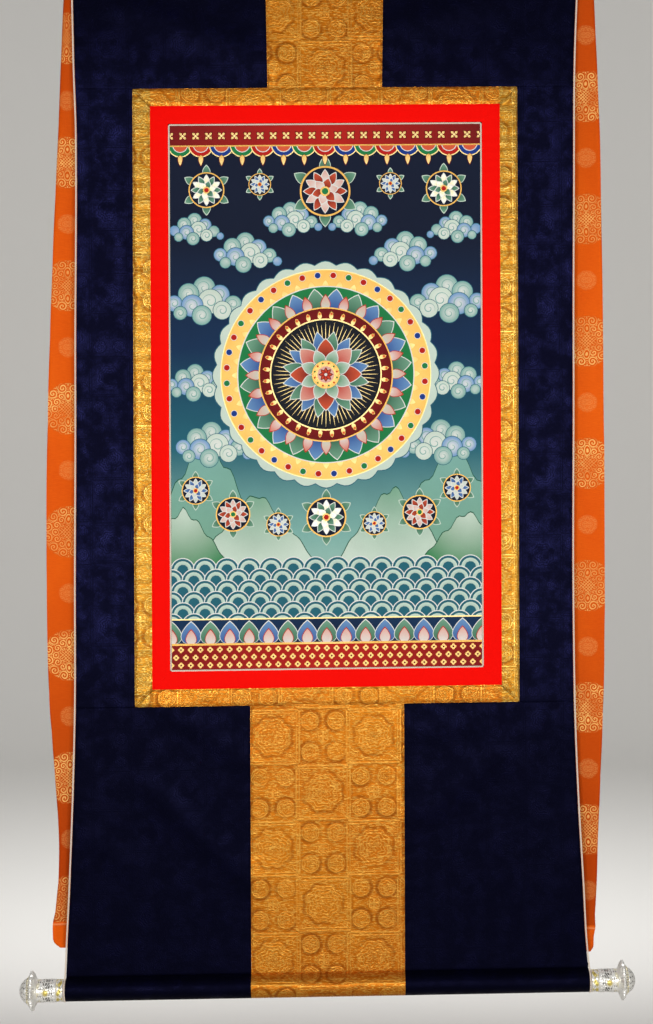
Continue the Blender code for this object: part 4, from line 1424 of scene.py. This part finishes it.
for row_out, row_radius in (mouth, end, (SOCKET_DEPTH, 0.0002)):
    far_out = np.concatenate([np.full((1, len(turns)), row_out), far_out])
    wide = np.concatenate([np.full((1, len(turns)), row_radius), wide])
    gilt_grid = np.concatenate([np.zeros((1, len(turns))), gilt_grid])
    depth = np.concatenate([np.full((1, len(turns)), 0.3), depth])



def wrapped(rings, columns):
    """The faces of a grid of points whose rows are rings."""
    start = np.arange(rings - 1)[:, None] * columns
    first = (start + np.arange(columns)).ravel()
    after = (start + np.roll(np.arange(columns), -1)).ravel()
    return np.stack([first, after, after + columns, first + columns], -1).tolist()


faces = wrapped(*wide.shape)
faces += [list(range(len(turns))), list(range(wide.size - len(turns), wide.size))[::-1]]


def on_axis(hand, out, radius, angle):
    """Points of an end cap, by how far they are out from its mouth, and from the roller's axis."""
    mouth = float(mount_edge(hand, MOUNT_FOOT)) + hand * (PIPING_DIAMETER + 3 * SEAM_GAP)
    lean = math.atan(ROLLER_RISE)
    along, up = hand * out, radius * np.cos(angle)
    x = mouth + along * math.cos(lean) - up * math.sin(lean)
    z = -ROLLER_DROP + mouth * ROLLER_RISE + along * math.sin(lean) + up * math.cos(lean)
    return np.stack([x, radius * np.sin(angle) + 0 * x, z], -1)


grains = Tree("silver grains", "grain radius")
inputs = {"Segments": 10, "Rings": 7, "Radius": grains.size("grain radius")}
one = grains.node("GeometryNodeMeshUVSphere", inputs)
laid = grains.node("GeometryNodeInstanceOnPoints", {"Points": grains.size("path"), "Instance": one})
bright_gilt = Finish("bright gilt", Metallic=1.0, Roughness=0.22)
rubbed = bright_gilt.noise(200)
bright_gilt.set(Base_Color=bright_gilt.mix(rubbed, tint(222, 196, 110), tint(250, 236, 176)))
grains.end(laid, bright_gilt)

for side, hand in SIDES:
    points = on_axis(hand, far_out, wide, np.broadcast_to(turns, wide.shape)).reshape(-1, 3)
    turned = faces if hand < 0 else [face[::-1] for face in faces]
    mesh = bpy.data.meshes.new("cap")
    mesh.from_pydata(points.tolist(), [], turned)
    attribute = mesh.color_attributes.new("worked", "FLOAT_COLOR", "POINT")
    values = np.stack([gilt_grid, depth, 0 * depth, 1 + 0 * depth], -1)
    attribute.data.foreach_set("color", values.astype(np.float32).ravel())
    mesh.materials.append(silver.material)
    plain(added("cap", mesh), f"silver_cap_{side}", "silver", f"end_cap_{side}")

    ring = np.linspace(0, 2 * math.pi, GRAINS_ROUND, endpoint=False)
    flower = np.linspace(0, 2 * math.pi, GRAINS_IN_FLOWER, endpoint=False)
    front = -math.pi / 2 + 0.22 * np.sin(flower)
    dots = np.concatenate([
        on_axis(hand, 0.0540 + 0 * ring, 0.0192, ring),
        on_axis(hand, 0.0100 + 0 * ring, 0.0158, ring),
        on_axis(hand, 0.0260 + 0.0039 * np.cos(flower), 0.0176, front),
    ])
    plain(grains.along(dots, [], **{"grain radius": GRAIN_RADIUS}), f"cap_grains_{side}", "silver")


# The room: a pale floor that rises into a wall all round, so that no corner shows behind the scroll.
# Two tall soft lamps light the front, and others the back, the wall and the floor.
FLOOR_HEIGHT = -2.0
FLOOR_REACH = 6.0
BEND = 2.0
profile = [(0.001, FLOOR_HEIGHT), (3.0, FLOOR_HEIGHT)]
for rise in np.linspace(0, math.pi / 2, 12):
    away, above = BEND * math.sin(rise), BEND * (1 - math.cos(rise))
    profile.append((FLOOR_REACH + away, FLOOR_HEIGHT + above))
profile.append((FLOOR_REACH + BEND, 6.0))
turns = np.linspace(0, 2 * math.pi, 96, endpoint=False)
points = [(r * math.cos(a), r * math.sin(a), z) for r, z in profile for a in turns]
mesh = bpy.data.meshes.new("floor")
mesh.from_pydata(points, [], wrapped(len(profile), len(turns)))
mesh.shade_smooth()
plaster = Finish("pale floor", Base_Color=tint(226, 224, 220), Roughness=0.9, Specular_IOR_Level=0.1)
mesh.materials.append(plaster.material)
added("floor", mesh)

world = bpy.data.worlds.new("room light")
world.use_nodes = True
background = world.node_tree.nodes["Background"]
background.inputs["Color"].default_value = (0.95, 0.97, 1.0, 1.0)
background.inputs["Strength"].default_value = 0.22
bpy.context.scene.world = world

LIGHTS = listed(
    "name place at wide tall power",
    ("key left", (-0.82, -3.6, -0.70), (0.0, 0.0, -0.85), 0.6, 1.2, 49),
    ("key right", (0.82, -3.6, -0.70), (0.0, 0.0, -0.85), 0.6, 1.2, 49),
    ("back", (0.5, 3.6, 1.4), (0.0, 0.0, -0.90), 2.5, 2.5, 9),
    ("wall", (0.0, 1.6, 0.6), (0.0, 8.0, -0.60), 3.0, 3.0, 120),
    ("ceiling", (0.0, 0.0, 4.5), (0.0, 0.0, -2.0), 6.0, 6.0, 40),
)
for light in LIGHTS:
    lamp = added(light["name"], bpy.data.lights.new(light["name"], "AREA"))
    lamp.data.shape = "RECTANGLE"
    lamp.data.size = light["wide"]
    lamp.data.size_y = light["tall"]
    lamp.data.energy = light["power"]
    lamp.visible_camera = False
    to = Vector(light["at"]) - Vector(light["place"])
    turned = to.to_track_quat("-Z", "Y").to_matrix().to_4x4()
    lamp.matrix_world = Matrix.Translation(light["place"]) @ turned
bpy.context.scene.view_settings.view_transform = "Standard"
